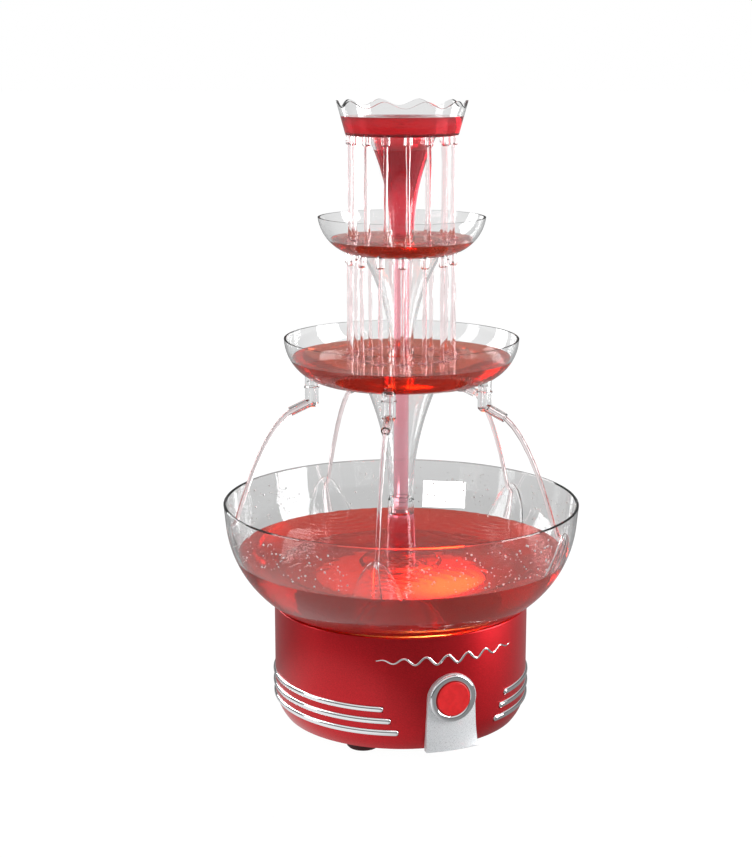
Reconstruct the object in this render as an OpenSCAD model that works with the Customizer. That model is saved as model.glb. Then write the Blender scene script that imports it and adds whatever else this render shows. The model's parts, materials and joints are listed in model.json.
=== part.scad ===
// Three-tier drinks fountain with a lit, motorised base and a magnetically driven pump.
// Millimetres. Z is up from the table, the push button faces -Y.
// An azimuth is an angle about Z: 0 is the front (-Y) and 90 is the right side (+X).

/* [Base housing] */
// Outside radius of the red housing
base_r = 128; // [118:1:140]
// Height of the housing's top edge above the table
base_h = 124; // [112:1:140]
// Wall thickness of the housing
base_wall = 3; // [2.5:0.1:4]
// How far the side draws in at the bottom
base_tuck = 9; // [6:0.5:12]
// Height over which the side draws in
base_tuck_h = 26; // [20:1:30]
// Depth of the deck below the top edge, where the bowl stands
deck_drop = 8; // [6:0.5:10]
// Thickness of the deck
deck_t = 4; // [3.5:0.1:6]
// Radius of the lit window in the deck
window_r = 80; // [70:1:88]
// Lap of the lens on the edge of the window
lens_lap = 6; // [4:0.5:8]
// Thickness of the lens
lens_t = 2.5; // [1.5:0.1:2.8]
// Number of pillars that join the deck to the bottom cover
pillar_count = 6; // [4:1:8]
// Radius of the circle of pillars
pillar_ring_r = 108; // [104:0.5:109]
// Radius of a pillar
pillar_r = 5; // [4:0.25:5.5]

/* [Bottom cover and feet] */
// Height of the bottom cover above the table
foot_h = 9; // [7:0.5:12]
// Radius of a foot
foot_r = 16; // [12:0.5:18]
// Radius of the circle of feet
foot_ring_r = 95; // [80:1:97]
// Thickness of the bottom cover
cover_t = 3; // [2.5:0.1:4]
// Length of a ventilation slot
vent_l = 30; // [20:1:36]
// Width of a ventilation slot
vent_w = 4; // [3:0.25:5]

/* [Trim strips] */
// Height of the lowest strip's middle above the table
trim_z = 28.8; // [26:0.2:32]
// Height from one strip to the next
trim_pitch = 11.8; // [9:0.1:13]
// Half of a strip's height
trim_half = 3; // [2:0.1:3.5]
// How far a strip stands out of the side
trim_proud = 2; // [1:0.1:2.4]
// Depth of the groove that seats a strip
trim_seat = 1.4; // [0.8:0.1:1.6]
// Azimuth of the lowest strip's front end
trim_front_a = 23.2; // [20:0.2:30]
// How much further back each higher strip starts
trim_step_a = 3.3; // [0:0.1:5]
// Azimuth of the strips' rear ends
trim_rear_a = 152; // [120:1:155]

/* [Control panel] */
// Height of the button's middle above the table
button_z = 62; // [56:1:70]
// Radius of the button
button_r = 17; // [14:0.5:18]
// Travel of the button
button_travel = 3; // [2:0.5:3.5]
// Width of the chrome ring's face
ring_w = 6.4; // [4:0.2:7]
// How far the ring stands out of the bezel
ring_proud = 2.4; // [1.5:0.1:3]
// Thickness of the bezel
bezel_t = 3; // [2:0.1:4]
// Half of the bezel's width at the bottom
bezel_foot_w = 27; // [24:0.5:32]
// How far the bezel's lip stands out at the bottom
bezel_lip = 7.5; // [5:0.5:10]
// Height of the lip above the bottom cover
bezel_lip_h = 1.5; // [1:0.25:3]

/* [Switch] */
// Width of the switch body
switch_w = 20; // [14:1:26]
// Depth of the switch body behind its plate
switch_depth = 16; // [10:1:20]
// Height of the switch body
switch_h = 14; // [10:1:20]
// Thickness of the switch plate
switch_plate_t = 2.5; // [2:0.1:3]
// Wire radius of the return spring
spring_wire_r = 0.5; // [0.3:0.05:0.6]
// Radius of the spring's coil
spring_r = 6; // [5.5:0.1:7]
// Turns of the spring
spring_turns = 6; // [4:1:8]

/* [Motor and lamp] */
// Gap between the deck's underside and the motor bracket
bracket_drop = 26; // [22:1:32]
// Thickness of the motor bracket
bracket_t = 2; // [1.5:0.1:3]
// Radius of the motor's can
motor_r = 19; // [16:0.5:22]
// Height of the motor's can
motor_h = 36; // [30:1:42]
// Radius of the motor's shaft
shaft_r = 1.6; // [1.2:0.1:2.2]
// Radial clearance of a shaft in its bearing
run_fit = 0.05; // [0.03:0.01:0.08]
// Radius of the hub that carries the driving magnets
drive_hub_r = 18; // [15:0.5:20]
// Number of driving magnets
magnet_count = 4; // [4:2:6]
// Radius of a driving magnet
magnet_r = 4; // [3:0.25:4.5]
// Number of lamps on the board
lamp_count = 6; // [4:1:10]
// Radius of a lamp
lamp_r = 4; // [2.5:0.25:5]
// Radius of the circle of lamps
lamp_ring_r = 46; // [42:1:50]

/* [Cord inlet] */
// Radius of the hole that the supply cord goes through
inlet_r = 3.5; // [2.5:0.25:4.5]
// Height of the inlet above the table
inlet_z = 52; // [50:1:70]

/* [Main bowl] */
// Radius of the main bowl's rim
bowl_rim_r = 178; // [165:1:195]
// Height of the rim above the base's top edge
bowl_depth = 103; // [90:1:120]
// Height of the straight band under the rim
bowl_band_h = 22; // [12:1:28]
// Lean of the straight band, in degrees
bowl_band_lean = 5.8; // [4:0.2:9]
// Wall thickness of the main bowl
bowl_wall = 3.2; // [2.6:0.1:4]
// Height of the bowl's inner floor above the base's top edge
floor_rise = 9; // [8:0.5:12]
// Radius of the pump well in the bowl's floor
well_r = 24; // [23:0.5:28]

/* [Pump] */
// Radius of the impeller
impeller_r = 19.5; // [17:0.5:20.5]
// Number of impeller vanes
vane_count = 6; // [4:1:9]
// Radius of the impeller's pin
pin_r = 1.5; // [1.2:0.1:2]
// Radius of the pump cover's foot
pump_cover_r = 42; // [38:1:46]
// Height of the pump cover
pump_cover_h = 39; // [36:1:44]
// Number of inlet slots in the pump cover
inlet_count = 12; // [8:1:16]

/* [Tower] */
// Height of the riser's top above the bowl's floor
riser_h = 94; // [80:1:110]
// Radius of the riser at its foot
riser_foot_r = 15.4; // [14.5:0.1:16.5]
// Bore radius of every plug-in socket
socket_r = 11.2; // [10.4:0.1:12]
// Wall thickness of a socket
socket_wall = 1.9; // [1.5:0.1:2.4]
// Length of a column's plug
plug_l = 12; // [9:0.5:14]
// Radial clearance of a plug in its socket
joint_gap = 0.3; // [0.2:0.05:0.5]
// Radius of a column's neck
neck_r = 11.9; // [11.7:0.1:12.4]
// Wall of a column, measured level
column_wall = 2.2; // [1.6:0.1:2.6]
// How sharply a column flares: 1 is a cone
column_flare = 2.1; // [1.6:0.1:2.6]
// Radius of the lower column's mouth
lower_mouth_r = 37.5; // [30:0.5:45]
// Radius of the upper column's mouth
upper_mouth_r = 39; // [30:0.5:39.5]
// Radius of the crown stem's mouth
stem_mouth_r = 33.5; // [26:0.5:38]
// Radius of the supply tube in a column
tube_r = 7.5; // [6.5:0.1:8]
// Wall of the supply tube
tube_wall = 1.5; // [1:0.1:2]

/* [Lower tier] */
// Height of the lower tier's underside above the riser's top
lower_rise = 121.6; // [105:1:140]
// Radius of the lower tier's rim
lower_rim_r = 115.8; // [100:1:125]
// Depth of the lower tier
lower_depth = 43; // [35:1:44]
// Radius of the lower tier's side curve
lower_curve_r = 44.9; // [44.5:0.5:50]
// Height of the lower tier's socket above its underside
lower_hub_h = 28.4; // [26:0.5:34]
// Wall thickness of the tiers and the crown
tier_wall = 2.2; // [1.8:0.1:2.8]

/* [Swivel spouts] */
// Azimuth of the front spout
spout_first_a = -30; // [-36:1:0]
// Radius of the circle of spouts
spout_ring_r = 89.5; // [84:0.5:93]
// Outside radius of a spout's upright
spout_r = 6.6; // [5.8:0.1:7.4]
// Outside radius of a spout's arm
spout_arm_r = 4.6; // [4:0.1:5]
// Bore radius of a spout
spout_bore_r = 3.2; // [2.5:0.1:3.4]
// Reach of a spout's arm from its pivot
spout_reach = 21.5; // [16:0.5:28]
// Slope of a spout's arm below level, in degrees
spout_slope = 24.5; // [15:0.5:40]

/* [Upper tier] */
// Height of the upper tier's underside above the lower tier's socket
upper_rise = 96.5; // [85:1:110]
// Radius of the upper tier's rim
upper_rim_r = 81.8; // [72:1:90]
// Depth of the upper tier
upper_depth = 36.7; // [30:1:42]
// Radius of the upper tier's side curve
upper_curve_r = 42.3; // [42.1:0.1:46]
// Height of the upper tier's socket above its underside
upper_hub_h = 18.5; // [18:0.5:26]
// Radius of the circle of nozzles under the upper tier
upper_nozzle_ring_r = 52; // [46:0.5:56]
// Azimuth of the upper tier's first nozzle
upper_nozzle_a = -21.4; // [-24:0.2:24]

/* [Crown] */
// Height of the crown's underside above the upper tier's socket
crown_rise = 96.3; // [80:1:110]
// Radius of the crown's floor
crown_floor_r = 55; // [50:0.5:60]
// Radius of the crown's top edge
crown_top_r = 63.6; // [58:0.5:72]
// Height of the crown at the scallops' tips
crown_h = 33.2; // [28:0.5:40]
// Number of scallops round the crown's edge
scallop_count = 10; // [8:1:14]
// Depth of a scallop
scallop_depth = 6.5; // [3:0.5:9]
// Azimuth of the first scallop's dip
scallop_a = -19.8; // [-36:0.2:36]
// Radius of the circle of nozzles under the crown
crown_nozzle_ring_r = 50.5; // [46:0.5:51]
// Azimuth of the crown's first nozzle
crown_nozzle_a = -16; // [-24:0.2:24]

/* [Nozzles] */
// Number of nozzles in each ring
nozzle_count = 15; // [10:1:18]
// Outside radius of a nozzle
nozzle_r = 4; // [3:0.1:4.2]
// Bore radius of a nozzle
nozzle_bore_r = 2; // [1.5:0.1:2.4]
// Length of a nozzle below the floor it drains
nozzle_l = 8.7; // [6:0.1:12]

/* [Drink] */
// Depth of the drink over the main bowl's floor
bowl_drink = 42; // [30:0.5:60]
// Height of the drink above the lower tier's underside
lower_drink = 24.4; // [12:0.2:25]
// Height of the drink above the upper tier's underside
upper_drink = 15.5; // [9:0.1:17]
// Height of the drink above the crown's underside
crown_drink = 18.7; // [10:0.1:19]
// Gap that is left between the drink and what holds it
drink_gap = 0.3; // [0.2:0.05:0.5]

/* [Hidden] */
$fn = 96;
eps = 0.01;
// How far a cut runs past what it cuts
over = 1;
// Radial gap of a glued or pressed joint
glue_gap = 0.05;
// Radial gap of the bowl's foot in the housing
seat_gap = 0.6;
spout_count = 5;
foot_count = 4;

// Heights of the levels that the pieces stack up to
deck_z = base_h - deck_drop;
deck_under_z = deck_z - deck_t;
cover_top_z = foot_h + cover_t;
rim_z = base_h + bowl_depth;
floor_z = base_h + floor_rise;
riser_top_z = floor_z + riser_h;
lower_z = riser_top_z + lower_rise;
lower_hub_z = lower_z + lower_hub_h;
upper_z = lower_hub_z + upper_rise;
upper_hub_z = upper_z + upper_hub_h;
crown_z = upper_hub_z + crown_rise;
echo(total_height = crown_z + crown_h);

// The housing's side: straight above side_z, and an arc below it
side_z = foot_h + base_tuck_h;
side_curve_r = (pow(base_tuck, 2) + pow(base_tuck_h, 2)) / (2 * base_tuck);
side_centre_r = base_r - side_curve_r;
// Radius of the housing's outside at height z
function side_r(z) =
  z >= side_z ? base_r : side_centre_r + sqrt(pow(side_curve_r, 2) - pow(side_z - z, 2));
// Angle below level at which the side's arc, moved in by t, ends at height z
function side_end(t, z) = -asin((side_z - z) / (side_curve_r - t));

// Points of an arc from angle a0 to a1 in n steps
function arc(cx, cy, r, a0, a1, n) =
  [for (i = [0:n]) let (a = a0 + (a1 - a0) * i / n) [cx + r * cos(a), cy + r * sin(a)]];

// Turns what follows to an azimuth, so that its +X axis points away from the axis
module at(azimuth) { rotate([0, 0, azimuth - 90]) children(); }

// Copies what follows round the axis
module ring_of(count, first_a) {
  for (i = [0:count - 1]) at(first_a + 360 * i / count) children();
}

// A round hole or rod between two heights
module rod(r, z0, z1) { translate([0, 0, z0]) cylinder(r = r, h = z1 - z0); }

// A flat ring between two heights
module washer(r_out, r_in, z0, z1) {
  difference() {
    rod(r_out, z0, z1);
    rod(r_in, z0 - over, z1 + over);
  }
}

// A round boss or hole that points at -Y, from depth y0 to y1, both counted forwards
module front_rod(r, y0, y1, z) {
  translate([0, -y0, z]) rotate([90, 0, 0]) cylinder(r = r, h = y1 - y0);
}

// BASE

lens_r = window_r + lens_lap;
lens_fit = 0.3;
recess_r = base_r - base_wall;
lip_round = 1;
pillar_first_a = 30;
pillar_rib_t = 2;
boss_ring_r = 92;
boss_r = 5;
boss_first_a = 45;
boss_count = 4;
screw_r = 1.4;
screw_hole_r = 1.55;
screw_pass_r = 1.7;
screw_l = 14;
screw_head_r = 2.8;
screw_head_t = 1.8;
screw_tip_gap = 2;
bracket_z = deck_under_z - bracket_drop - bracket_t;
rib_foot_z = side_z + 5;

module housing_shell() {
  rotate_extrude() polygon(concat(
    arc(side_centre_r, side_z, side_curve_r, side_end(0, foot_h), 0, 10),
    arc(base_r - lip_round, base_h - lip_round, lip_round, 0, 90, 4),
    [[recess_r, base_h], [recess_r, deck_z], [lens_r + lens_fit, deck_z],
     [lens_r + lens_fit, deck_z - lens_t], [window_r, deck_z - lens_t],
     [window_r, deck_under_z], [recess_r, deck_under_z]],
    arc(side_centre_r, side_z, side_curve_r - base_wall, 0, side_end(base_wall, foot_h), 10)));
}

// Puts what follows on the axis of each pillar, bracket boss or switch boss
module at_pillars() { ring_of(pillar_count, pillar_first_a) translate([pillar_ring_r, 0, 0]) children(); }
module at_bosses() { ring_of(boss_count, boss_first_a) translate([boss_ring_r, 0, 0]) children(); }
module at_switch_bosses() {
  for (side = [-1, 1]) translate([side * switch_boss_x, 0, 0]) children();
}

// Pillar with the rib that ties it to the wall
module pillar() {
  rod(pillar_r, cover_top_z, deck_under_z + eps);
  translate([0, -pillar_rib_t / 2, rib_foot_z])
    cube([base_r - base_wall / 2 - pillar_ring_r, pillar_rib_t, deck_under_z - rib_foot_z + eps]);
}

// Bosses behind the front wall that carry the switch plate, and their screw holes
switch_boss_x = 29;
switch_boss_r = 4;
switch_plate_y = 108;
switch_boss_y = sqrt(pow(base_r, 2) - pow(switch_boss_x + switch_boss_r, 2)) - 1;
switch_screw_l = 8;

inlet_neck_r = inlet_r + 2.5;
inlet_flange_r = inlet_neck_r + 3;
inlet_face = base_r - 0.4;
past_side = base_r + 5;

module base_housing() {
  color("#C8141E") difference() {
    union() {
      housing_shell();
      at_pillars() pillar();
      at_bosses() rod(boss_r, bracket_z + bracket_t, deck_under_z + eps);
      at_switch_bosses()
        front_rod(switch_boss_r, switch_plate_y + switch_plate_t, switch_boss_y, button_z);
    }
    at_pillars() rod(screw_hole_r, cover_top_z - over, cover_top_z + screw_l);
    at_bosses() rod(screw_hole_r, bracket_z, bracket_z + bracket_t + screw_l);
    at_switch_bosses()
      front_rod(screw_hole_r, switch_plate_y, switch_plate_y + switch_plate_t + switch_screw_l, button_z);
    front_rod(ring_neck_r + glue_gap, ring_back_y, past_side, button_z);
    trim_grooves();
    at(180) translate([0, 0, inlet_z]) rotate([0, 90, 0]) {
      rod(inlet_neck_r + glue_gap, recess_r - 5, past_side);
      rod(inlet_flange_r + glue_gap, inlet_face, past_side);
    }
  }
}

// TRIM STRIPS

// Angle by which a groove runs past its strip at each end
groove_slack_a = 0.03;

// Half outline of a strip's section, from its back to its crown: [distance from axis, height]
function trim_profile(face_r) = concat(
  [[face_r - trim_seat, trim_half], [face_r + trim_proud * 0.2, trim_half]],
  [for (i = [1:7]) let (a = 90 * i / 7)
    [face_r + trim_proud * (0.2 + 0.8 * sin(a)), trim_half * (i == 7 ? 0 : cos(a))]]);
// The same for the groove that seats it
function groove_profile(face_r) =
  let (half = trim_half + glue_gap, outside = face_r + 2 * trim_proud)
  [[face_r - trim_seat - glue_gap, half], [outside, half], [outside, 0]];

// Bar with that half outline, bent round the axis between two azimuths
module bent_bar(profile, a0, a1) {
  count = len(profile);
  at(a0) rotate_extrude(angle = a1 - a0) polygon(concat(profile,
    [for (i = [count - 2:-1:0]) [profile[i][0], -profile[i][1]]]));
}

// One strip, or its groove, which is longer by a hair: row 0 is the lowest, side is 1 for the right
module trim_bar(row, side, groove) {
  z = trim_z + row * trim_pitch;
  slack = groove ? groove_slack_a : 0;
  front_a = trim_front_a + row * trim_step_a - slack;
  rear_a = trim_rear_a + slack;
  translate([0, 0, z])
    bent_bar(groove ? groove_profile(side_r(z)) : trim_profile(side_r(z)),
      side > 0 ? front_a : -rear_a, side > 0 ? rear_a : -front_a);
}

module trim_grooves() {
  for (row = [0:2]) for (side = [-1, 1]) trim_bar(row, side, true);
}

module trim_strip(row, side) { color("#D8DCE0") trim_bar(row, side, false); }

// BOTTOM COVER AND FEET

cover_gap = 0.4;
bottom_r = side_centre_r + sqrt(pow(side_curve_r - base_wall, 2) - pow(base_tuck_h, 2)) - cover_gap;
foot_first_a = 45;
foot_peg_r = 4;
foot_peg_l = 5;
foot_chamfer = 1.5;
// Round rib that stiffens the cover just inside the pillars
cover_rib_r = pillar_ring_r - pillar_r - 0.8;
cover_rib_t = 2;
cover_rib_h = 4;
// Ventilation slots in two rings, the outer ones twice as long as the inner ones
vent_count = 8;
vent_ring_r = 32;
vent_pitch = 16;

// Slot with round ends along X
module slot(l, w, z0, z1) {
  translate([0, 0, z0]) linear_extrude(z1 - z0) {
    square([l - w, w], center = true);
    for (x = [-1, 1]) translate([x * (l - w) / 2, 0]) circle(r = w / 2);
  }
}

module bottom_cover() {
  color("#2A2A2C") difference() {
    union() {
      rod(bottom_r, foot_h, cover_top_z);
      washer(cover_rib_r, cover_rib_r - cover_rib_t, foot_h, cover_top_z + cover_rib_h);
    }
    at_pillars() {
      rod(screw_pass_r, foot_h - over, cover_top_z + over);
      rod(screw_head_r + screw_pass_r - screw_r, foot_h - over, foot_h + screw_head_t);
    }
    ring_of(foot_count, foot_first_a) translate([foot_ring_r, 0, 0])
      rod(foot_peg_r + glue_gap, foot_h - over, cover_top_z + cover_rib_h + over);
    ring_of(vent_count, 0) for (row = [1:2])
      translate([vent_ring_r + (row - 1) * vent_pitch, 0, 0]) rotate([0, 0, 90])
        slot(vent_l * row / 2, vent_w, foot_h - over, cover_top_z + over);
  }
}

// Screw whose head is at z0 and whose shank runs up
module screw(z0, l) {
  rod(screw_head_r, z0, z0 + screw_head_t);
  rod(screw_r, z0, z0 + screw_head_t + l);
}

module cover_screws() {
  color("#9A9CA0") at_pillars() screw(foot_h, cover_t - screw_head_t + screw_l - screw_tip_gap);
}

// Rubber foot with a peg through the cover: 0 is front right, and the rest follow anticlockwise
module foot(number) {
  peg_top_z = cover_top_z + foot_peg_l;
  peg_chamfer = 1;
  color("#4A0E12") at(foot_first_a + 360 * number / foot_count) translate([foot_ring_r, 0, 0])
    rotate_extrude() polygon([[0, 0], [foot_r - foot_chamfer, 0], [foot_r, foot_chamfer],
      [foot_r, foot_h], [foot_peg_r, foot_h], [foot_peg_r, peg_top_z - peg_chamfer],
      [foot_peg_r - peg_chamfer, peg_top_z], [0, peg_top_z]]);
}

// CONTROL PANEL

ring_in_r = button_r + joint_gap;
ring_out_r = ring_in_r + ring_w;
ring_neck_r = ring_in_r + 3;
ring_back_y = base_r - base_wall - 5;
arch_r = ring_out_r + 0.8;
bezel_face = base_r + bezel_t;
// The flat seat of the ring stands just clear of the bezel's round face
ring_seat = bezel_face + 0.2;
ring_face = bezel_face + ring_proud;
bezel_lip_z = foot_h + bezel_lip_h;
bezel_skin = 2.5;
bezel_back_r = base_r + glue_gap;
lip_chamfer = 1;

// Arch with a straight-sided foot, drawn in X and Z
module bezel_outline(inset) {
  foot_z = bezel_lip_z - 2 + inset;
  translate([0, button_z]) circle(r = arch_r - inset);
  polygon([[-arch_r + inset, button_z], [-bezel_foot_w + inset, foot_z],
    [bezel_foot_w - inset, foot_z], [arch_r - inset, button_z]]);
}

// The bezel's section turned round the axis: it follows the housing behind and flares to a lip
module bezel_ring(inset) {
  drop = side_z - bezel_lip_z;
  out = bezel_lip - bezel_t;
  flare_r = (pow(out, 2) + pow(drop, 2)) / (2 * out);
  top_z = button_z + arch_r + over;
  lip_z = bezel_lip_z + inset;
  rotate_extrude() polygon(concat(
    [[bezel_back_r, top_z], [bezel_back_r, side_z]],
    arc(side_centre_r, side_z, side_curve_r + glue_gap, 0, side_end(-glue_gap, lip_z), 10),
    [[base_r + bezel_lip - lip_chamfer - inset, lip_z],
     [base_r + bezel_lip - inset, lip_z + lip_chamfer]],
    arc(bezel_face + flare_r, side_z, flare_r + inset,
      180 + asin((drop - lip_chamfer - inset) / (flare_r + inset)), 180, 8),
    [[bezel_face - inset, top_z]]));
}

// The part of that ring inside the arch
module bezel_slab(inset) {
  intersection() {
    bezel_ring(inset);
    rotate([90, 0, 0]) linear_extrude(base_r + 2 * bezel_lip) bezel_outline(inset);
  }
}

module front_bezel() {
  color("#D5DADC") difference() {
    union() {
      bezel_slab(0);
      front_rod(arch_r, sqrt(pow(base_r, 2) - pow(arch_r, 2)) - eps, ring_seat, button_z);
    }
    rotate_extrude() square([bezel_back_r, button_z + arch_r + over]);
    front_rod(ring_neck_r + glue_gap, ring_back_y, ring_seat + over, button_z);
    intersection() {
      bezel_slab(bezel_skin);
      rod(base_r + bezel_lip, bezel_lip_z + bezel_skin, side_z - 2);
    }
  }
}

// Chrome ring: a rounded face in front of the bezel and a neck that passes through the housing
module button_ring() {
  mid_r = (ring_in_r + ring_out_r) / 2;
  foot = 0.4;
  color("#E4E7EA") rotate([90, 0, 0]) translate([0, button_z, 0]) rotate_extrude() polygon(concat(
    [[ring_neck_r, ring_seat], [ring_out_r, ring_seat]],
    [for (p = arc(0, 0, 1, 0, 180, 12))
      [mid_r + p[0] * ring_w / 2, ring_seat + foot + p[1] * (ring_proud - foot)]],
    [[ring_in_r, ring_back_y], [ring_neck_r, ring_back_y]]));
}

button_face = ring_face + 0.2;
button_skirt = 9;
button_wall = 2;
button_round = 1;
button_inside = button_face - button_wall - button_round;
stem_r = 3.5;
plunger_gap = 0.4;
switch_seat_r = spring_r + 1.5;
switch_front = switch_plate_y + switch_plate_t + 1;
guide_top = switch_front + 3;

// Cap with a slightly domed face, a skirt, and the stem that works the switch
module power_button() {
  dome = 0.8;
  back = button_face - button_skirt;
  stem_end = switch_front + button_travel + plunger_gap;
  color("#C81018") rotate([90, 0, 0]) translate([0, button_z, 0]) rotate_extrude() polygon(concat(
    [[0, button_face + dome - button_round],
     [button_r * 0.6, button_face + dome * 0.64 - button_round]],
    arc(button_r - button_round, button_face - 1.2 * button_round, button_round, 80, 0, 4),
    [[button_r, back], [button_r - button_wall, back], [button_r - button_wall, button_inside],
     [stem_r, button_inside], [stem_r, stem_end], [0, stem_end]]));
}

// Tube swept along points, with one ring of sides corners at each point
module swept_tube(points, normals, binormals, r, sides) {
  count = len(points);
  rings = [for (i = [0:count - 1]) for (k = [0:sides - 1])
    points[i] + r * (cos(360 * k / sides) * normals[i] + sin(360 * k / sides) * binormals[i])];
  quads = [for (i = [0:count - 2]) for (k = [0:sides - 1]) let (n = (k + 1) % sides)
    each [[i * sides + k, (i + 1) * sides + k, (i + 1) * sides + n],
          [i * sides + k, (i + 1) * sides + n, i * sides + n]]];
  first = [for (k = [0:sides - 1]) k];
  last = [for (k = [sides - 1:-1:0]) (count - 1) * sides + k];
  polyhedron(rings, concat([first], quads, [last]));
}

// Helix about Z that starts at height 0 and has height h
module helix_spring(coil_r, wire_r, turns, h) {
  steps = 8;
  sides = 6;
  rise = (h - 2 * wire_r) / (turns * steps);
  angles = [for (i = [0:turns * steps]) 360 * i / steps];
  tangents = [for (a = angles) let (v = [-sin(a) * coil_r * PI / 4, cos(a) * coil_r * PI / 4, rise])
    v / norm(v)];
  out = [for (a = angles) [cos(a), sin(a), 0]];
  swept_tube([for (i = [0:turns * steps])
      [coil_r * cos(angles[i]), coil_r * sin(angles[i]), wire_r + rise * i]],
    out, [for (i = [0:turns * steps]) cross(tangents[i], out[i])], wire_r, sides);
}

module button_spring() {
  color("#B8BCC0") translate([0, -guide_top, button_z]) rotate([90, 0, 0])
    helix_spring(spring_r, spring_wire_r, spring_turns, button_inside - guide_top - glue_gap);
}

switch_nose_r = 5;
switch_plate_w = 2 * (switch_boss_x + switch_boss_r);
switch_plate_h = 26;

module switch_plate() {
  past = switch_plate_y + switch_plate_t + over;
  color("#3A3A3C") difference() {
    translate([-switch_plate_w / 2, -switch_plate_y - switch_plate_t, button_z - switch_plate_h / 2])
      cube([switch_plate_w, switch_plate_t, switch_plate_h]);
    front_rod(switch_nose_r + glue_gap, switch_plate_y - over, past, button_z);
    at_switch_bosses() front_rod(screw_hole_r, switch_plate_y - over, past, button_z);
  }
}

module switch_screws() {
  tip = switch_plate_y + switch_plate_t + switch_screw_l - screw_tip_gap;
  color("#9A9CA0") at_switch_bosses() {
    front_rod(screw_head_r, switch_plate_y - screw_head_t, switch_plate_y, button_z);
    front_rod(screw_r, switch_plate_y - eps, tip, button_z);
  }
}

// Push switch: a body behind the plate, with a nose through it and a cup that seats the spring
module switch_body() {
  color("#202022") {
    translate([-switch_w / 2, -switch_plate_y, button_z - switch_h / 2])
      cube([switch_w, switch_depth, switch_h]);
    front_rod(switch_nose_r, switch_plate_y - eps, switch_front, button_z);
    front_rod(switch_seat_r, switch_plate_y + switch_plate_t, switch_front, button_z);
    difference() {
      front_rod(switch_seat_r, switch_front - eps, guide_top, button_z);
      front_rod(stem_r + joint_gap, switch_front, guide_top + over, button_z);
    }
  }
}

// Bush with a barb inside the wall and a flange in a shallow seat outside it
module cord_grommet() {
  barb_r = inlet_neck_r + 2;
  barb_front = recess_r - 1;
  barb_back = recess_r - 4;
  flange_t = 2;
  soft = 1;
  color("#1C1C1E") at(180) translate([0, 0, inlet_z]) rotate([0, 90, 0]) rotate_extrude()
    polygon([[inlet_r, barb_back - soft], [barb_r, barb_back], [barb_r, barb_front],
      [inlet_neck_r, barb_front], [inlet_neck_r, inlet_face], [inlet_flange_r, inlet_face],
      [inlet_flange_r, inlet_face + flange_t - soft], [inlet_flange_r - soft, inlet_face + flange_t],
      [inlet_r + soft, inlet_face + flange_t], [inlet_r, inlet_face + flange_t - soft]]);
}

// MOTOR AND LAMP

nose_r = 6;
nose_h = 4;
can_wall = 1.5;
can_top_t = 2;
can_top_z = bracket_z;
can_bottom_z = can_top_z - motor_h;
can_in_r = motor_r - can_wall - glue_gap;
bush_r = 3.5;
bush_l = 6;
cap_nose_h = 2;
end_cap_t = 4;
core_gap = 9;
armature_r = 12;
armature_slots = 5;
slot_w = 2.4;
slot_depth = 4;
air_gap = 1;
hub_top_z = deck_z - lens_t - 2;
drive_hub_h = 9;
hub_boss_r = 5;
hub_cap_t = 1.5;
board_gap = 10;
board_z = bracket_z + bracket_t + board_gap;
board_t = 1.6;
board_r = lamp_ring_r + 12;
board_hole_r = drive_hub_r + 4;
post_r = 3;
post_peg_r = 1.5;
post_count = 3;
post_ring_r = board_r - 5;
bracket_disc_r = post_ring_r + 6;
bracket_arm_w = 14;
bracket_hole_r = 8;
bracket_hole_ring_r = 36;
bracket_hole_count = 8;

// Disc with an arm to each boss and the posts of the lamp board
module motor_bracket() {
  top_z = bracket_z + bracket_t;
  color("#A8ACB0") difference() {
    union() {
      rod(bracket_disc_r, bracket_z, top_z);
      at_bosses() rod(bracket_arm_w / 2, bracket_z, top_z);
      ring_of(boss_count, boss_first_a) translate([motor_r, -bracket_arm_w / 2, bracket_z])
        cube([boss_ring_r - motor_r, bracket_arm_w, bracket_t]);
      ring_of(post_count, 0) translate([post_ring_r, 0, 0]) {
        rod(post_r, bracket_z, board_z);
        rod(post_peg_r, board_z - eps, board_z + board_t + 1);
      }
    }
    rod(nose_r + glue_gap, bracket_z - over, top_z + over);
    at_bosses() rod(screw_hole_r, bracket_z - over, top_z + over);
    ring_of(bracket_hole_count, 180 / bracket_hole_count) translate([bracket_hole_ring_r, 0, 0])
      rod(bracket_hole_r, bracket_z - over, top_z + over);
  }
}

module bracket_screws() {
  color("#9A9CA0") at_bosses()
    screw(bracket_z - screw_head_t, bracket_t + screw_l - screw_tip_gap);
}

// Deep-drawn can, open below, with a nose for the upper bush
module motor_can() {
  round_off = 1;
  color("#B4B8BC") rotate_extrude() polygon([
    [bush_r + glue_gap, can_top_z - can_top_t], [motor_r - can_wall, can_top_z - can_top_t],
    [motor_r - can_wall, can_bottom_z], [motor_r, can_bottom_z], [motor_r, can_top_z - round_off],
    [motor_r - round_off, can_top_z], [nose_r, can_top_z], [nose_r, can_top_z + nose_h],
    [bush_r + glue_gap, can_top_z + nose_h]]);
}

module motor_end_cap() {
  color("#EDEDE8") rotate_extrude() polygon([
    [bush_r + glue_gap, can_bottom_z - cap_nose_h], [nose_r, can_bottom_z - cap_nose_h],
    [nose_r, can_bottom_z], [can_in_r, can_bottom_z], [can_in_r, can_bottom_z + end_cap_t],
    [bush_r + glue_gap, can_bottom_z + end_cap_t]]);
}

// Pair of curved magnets against the inside of the can
module field_magnets() {
  span = 120;
  inner_r = armature_r + air_gap;
  color("#38383A") for (a = [0, 180]) at(a - span / 2) rotate_extrude(angle = span)
    translate([inner_r, can_bottom_z + core_gap - air_gap])
      square([can_in_r - inner_r, motor_h - 2 * (core_gap - air_gap)]);
}

module upper_bush() {
  color("#B08A4A")
    washer(bush_r, shaft_r + run_fit, can_top_z + nose_h - bush_l, can_top_z + nose_h);
}

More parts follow.
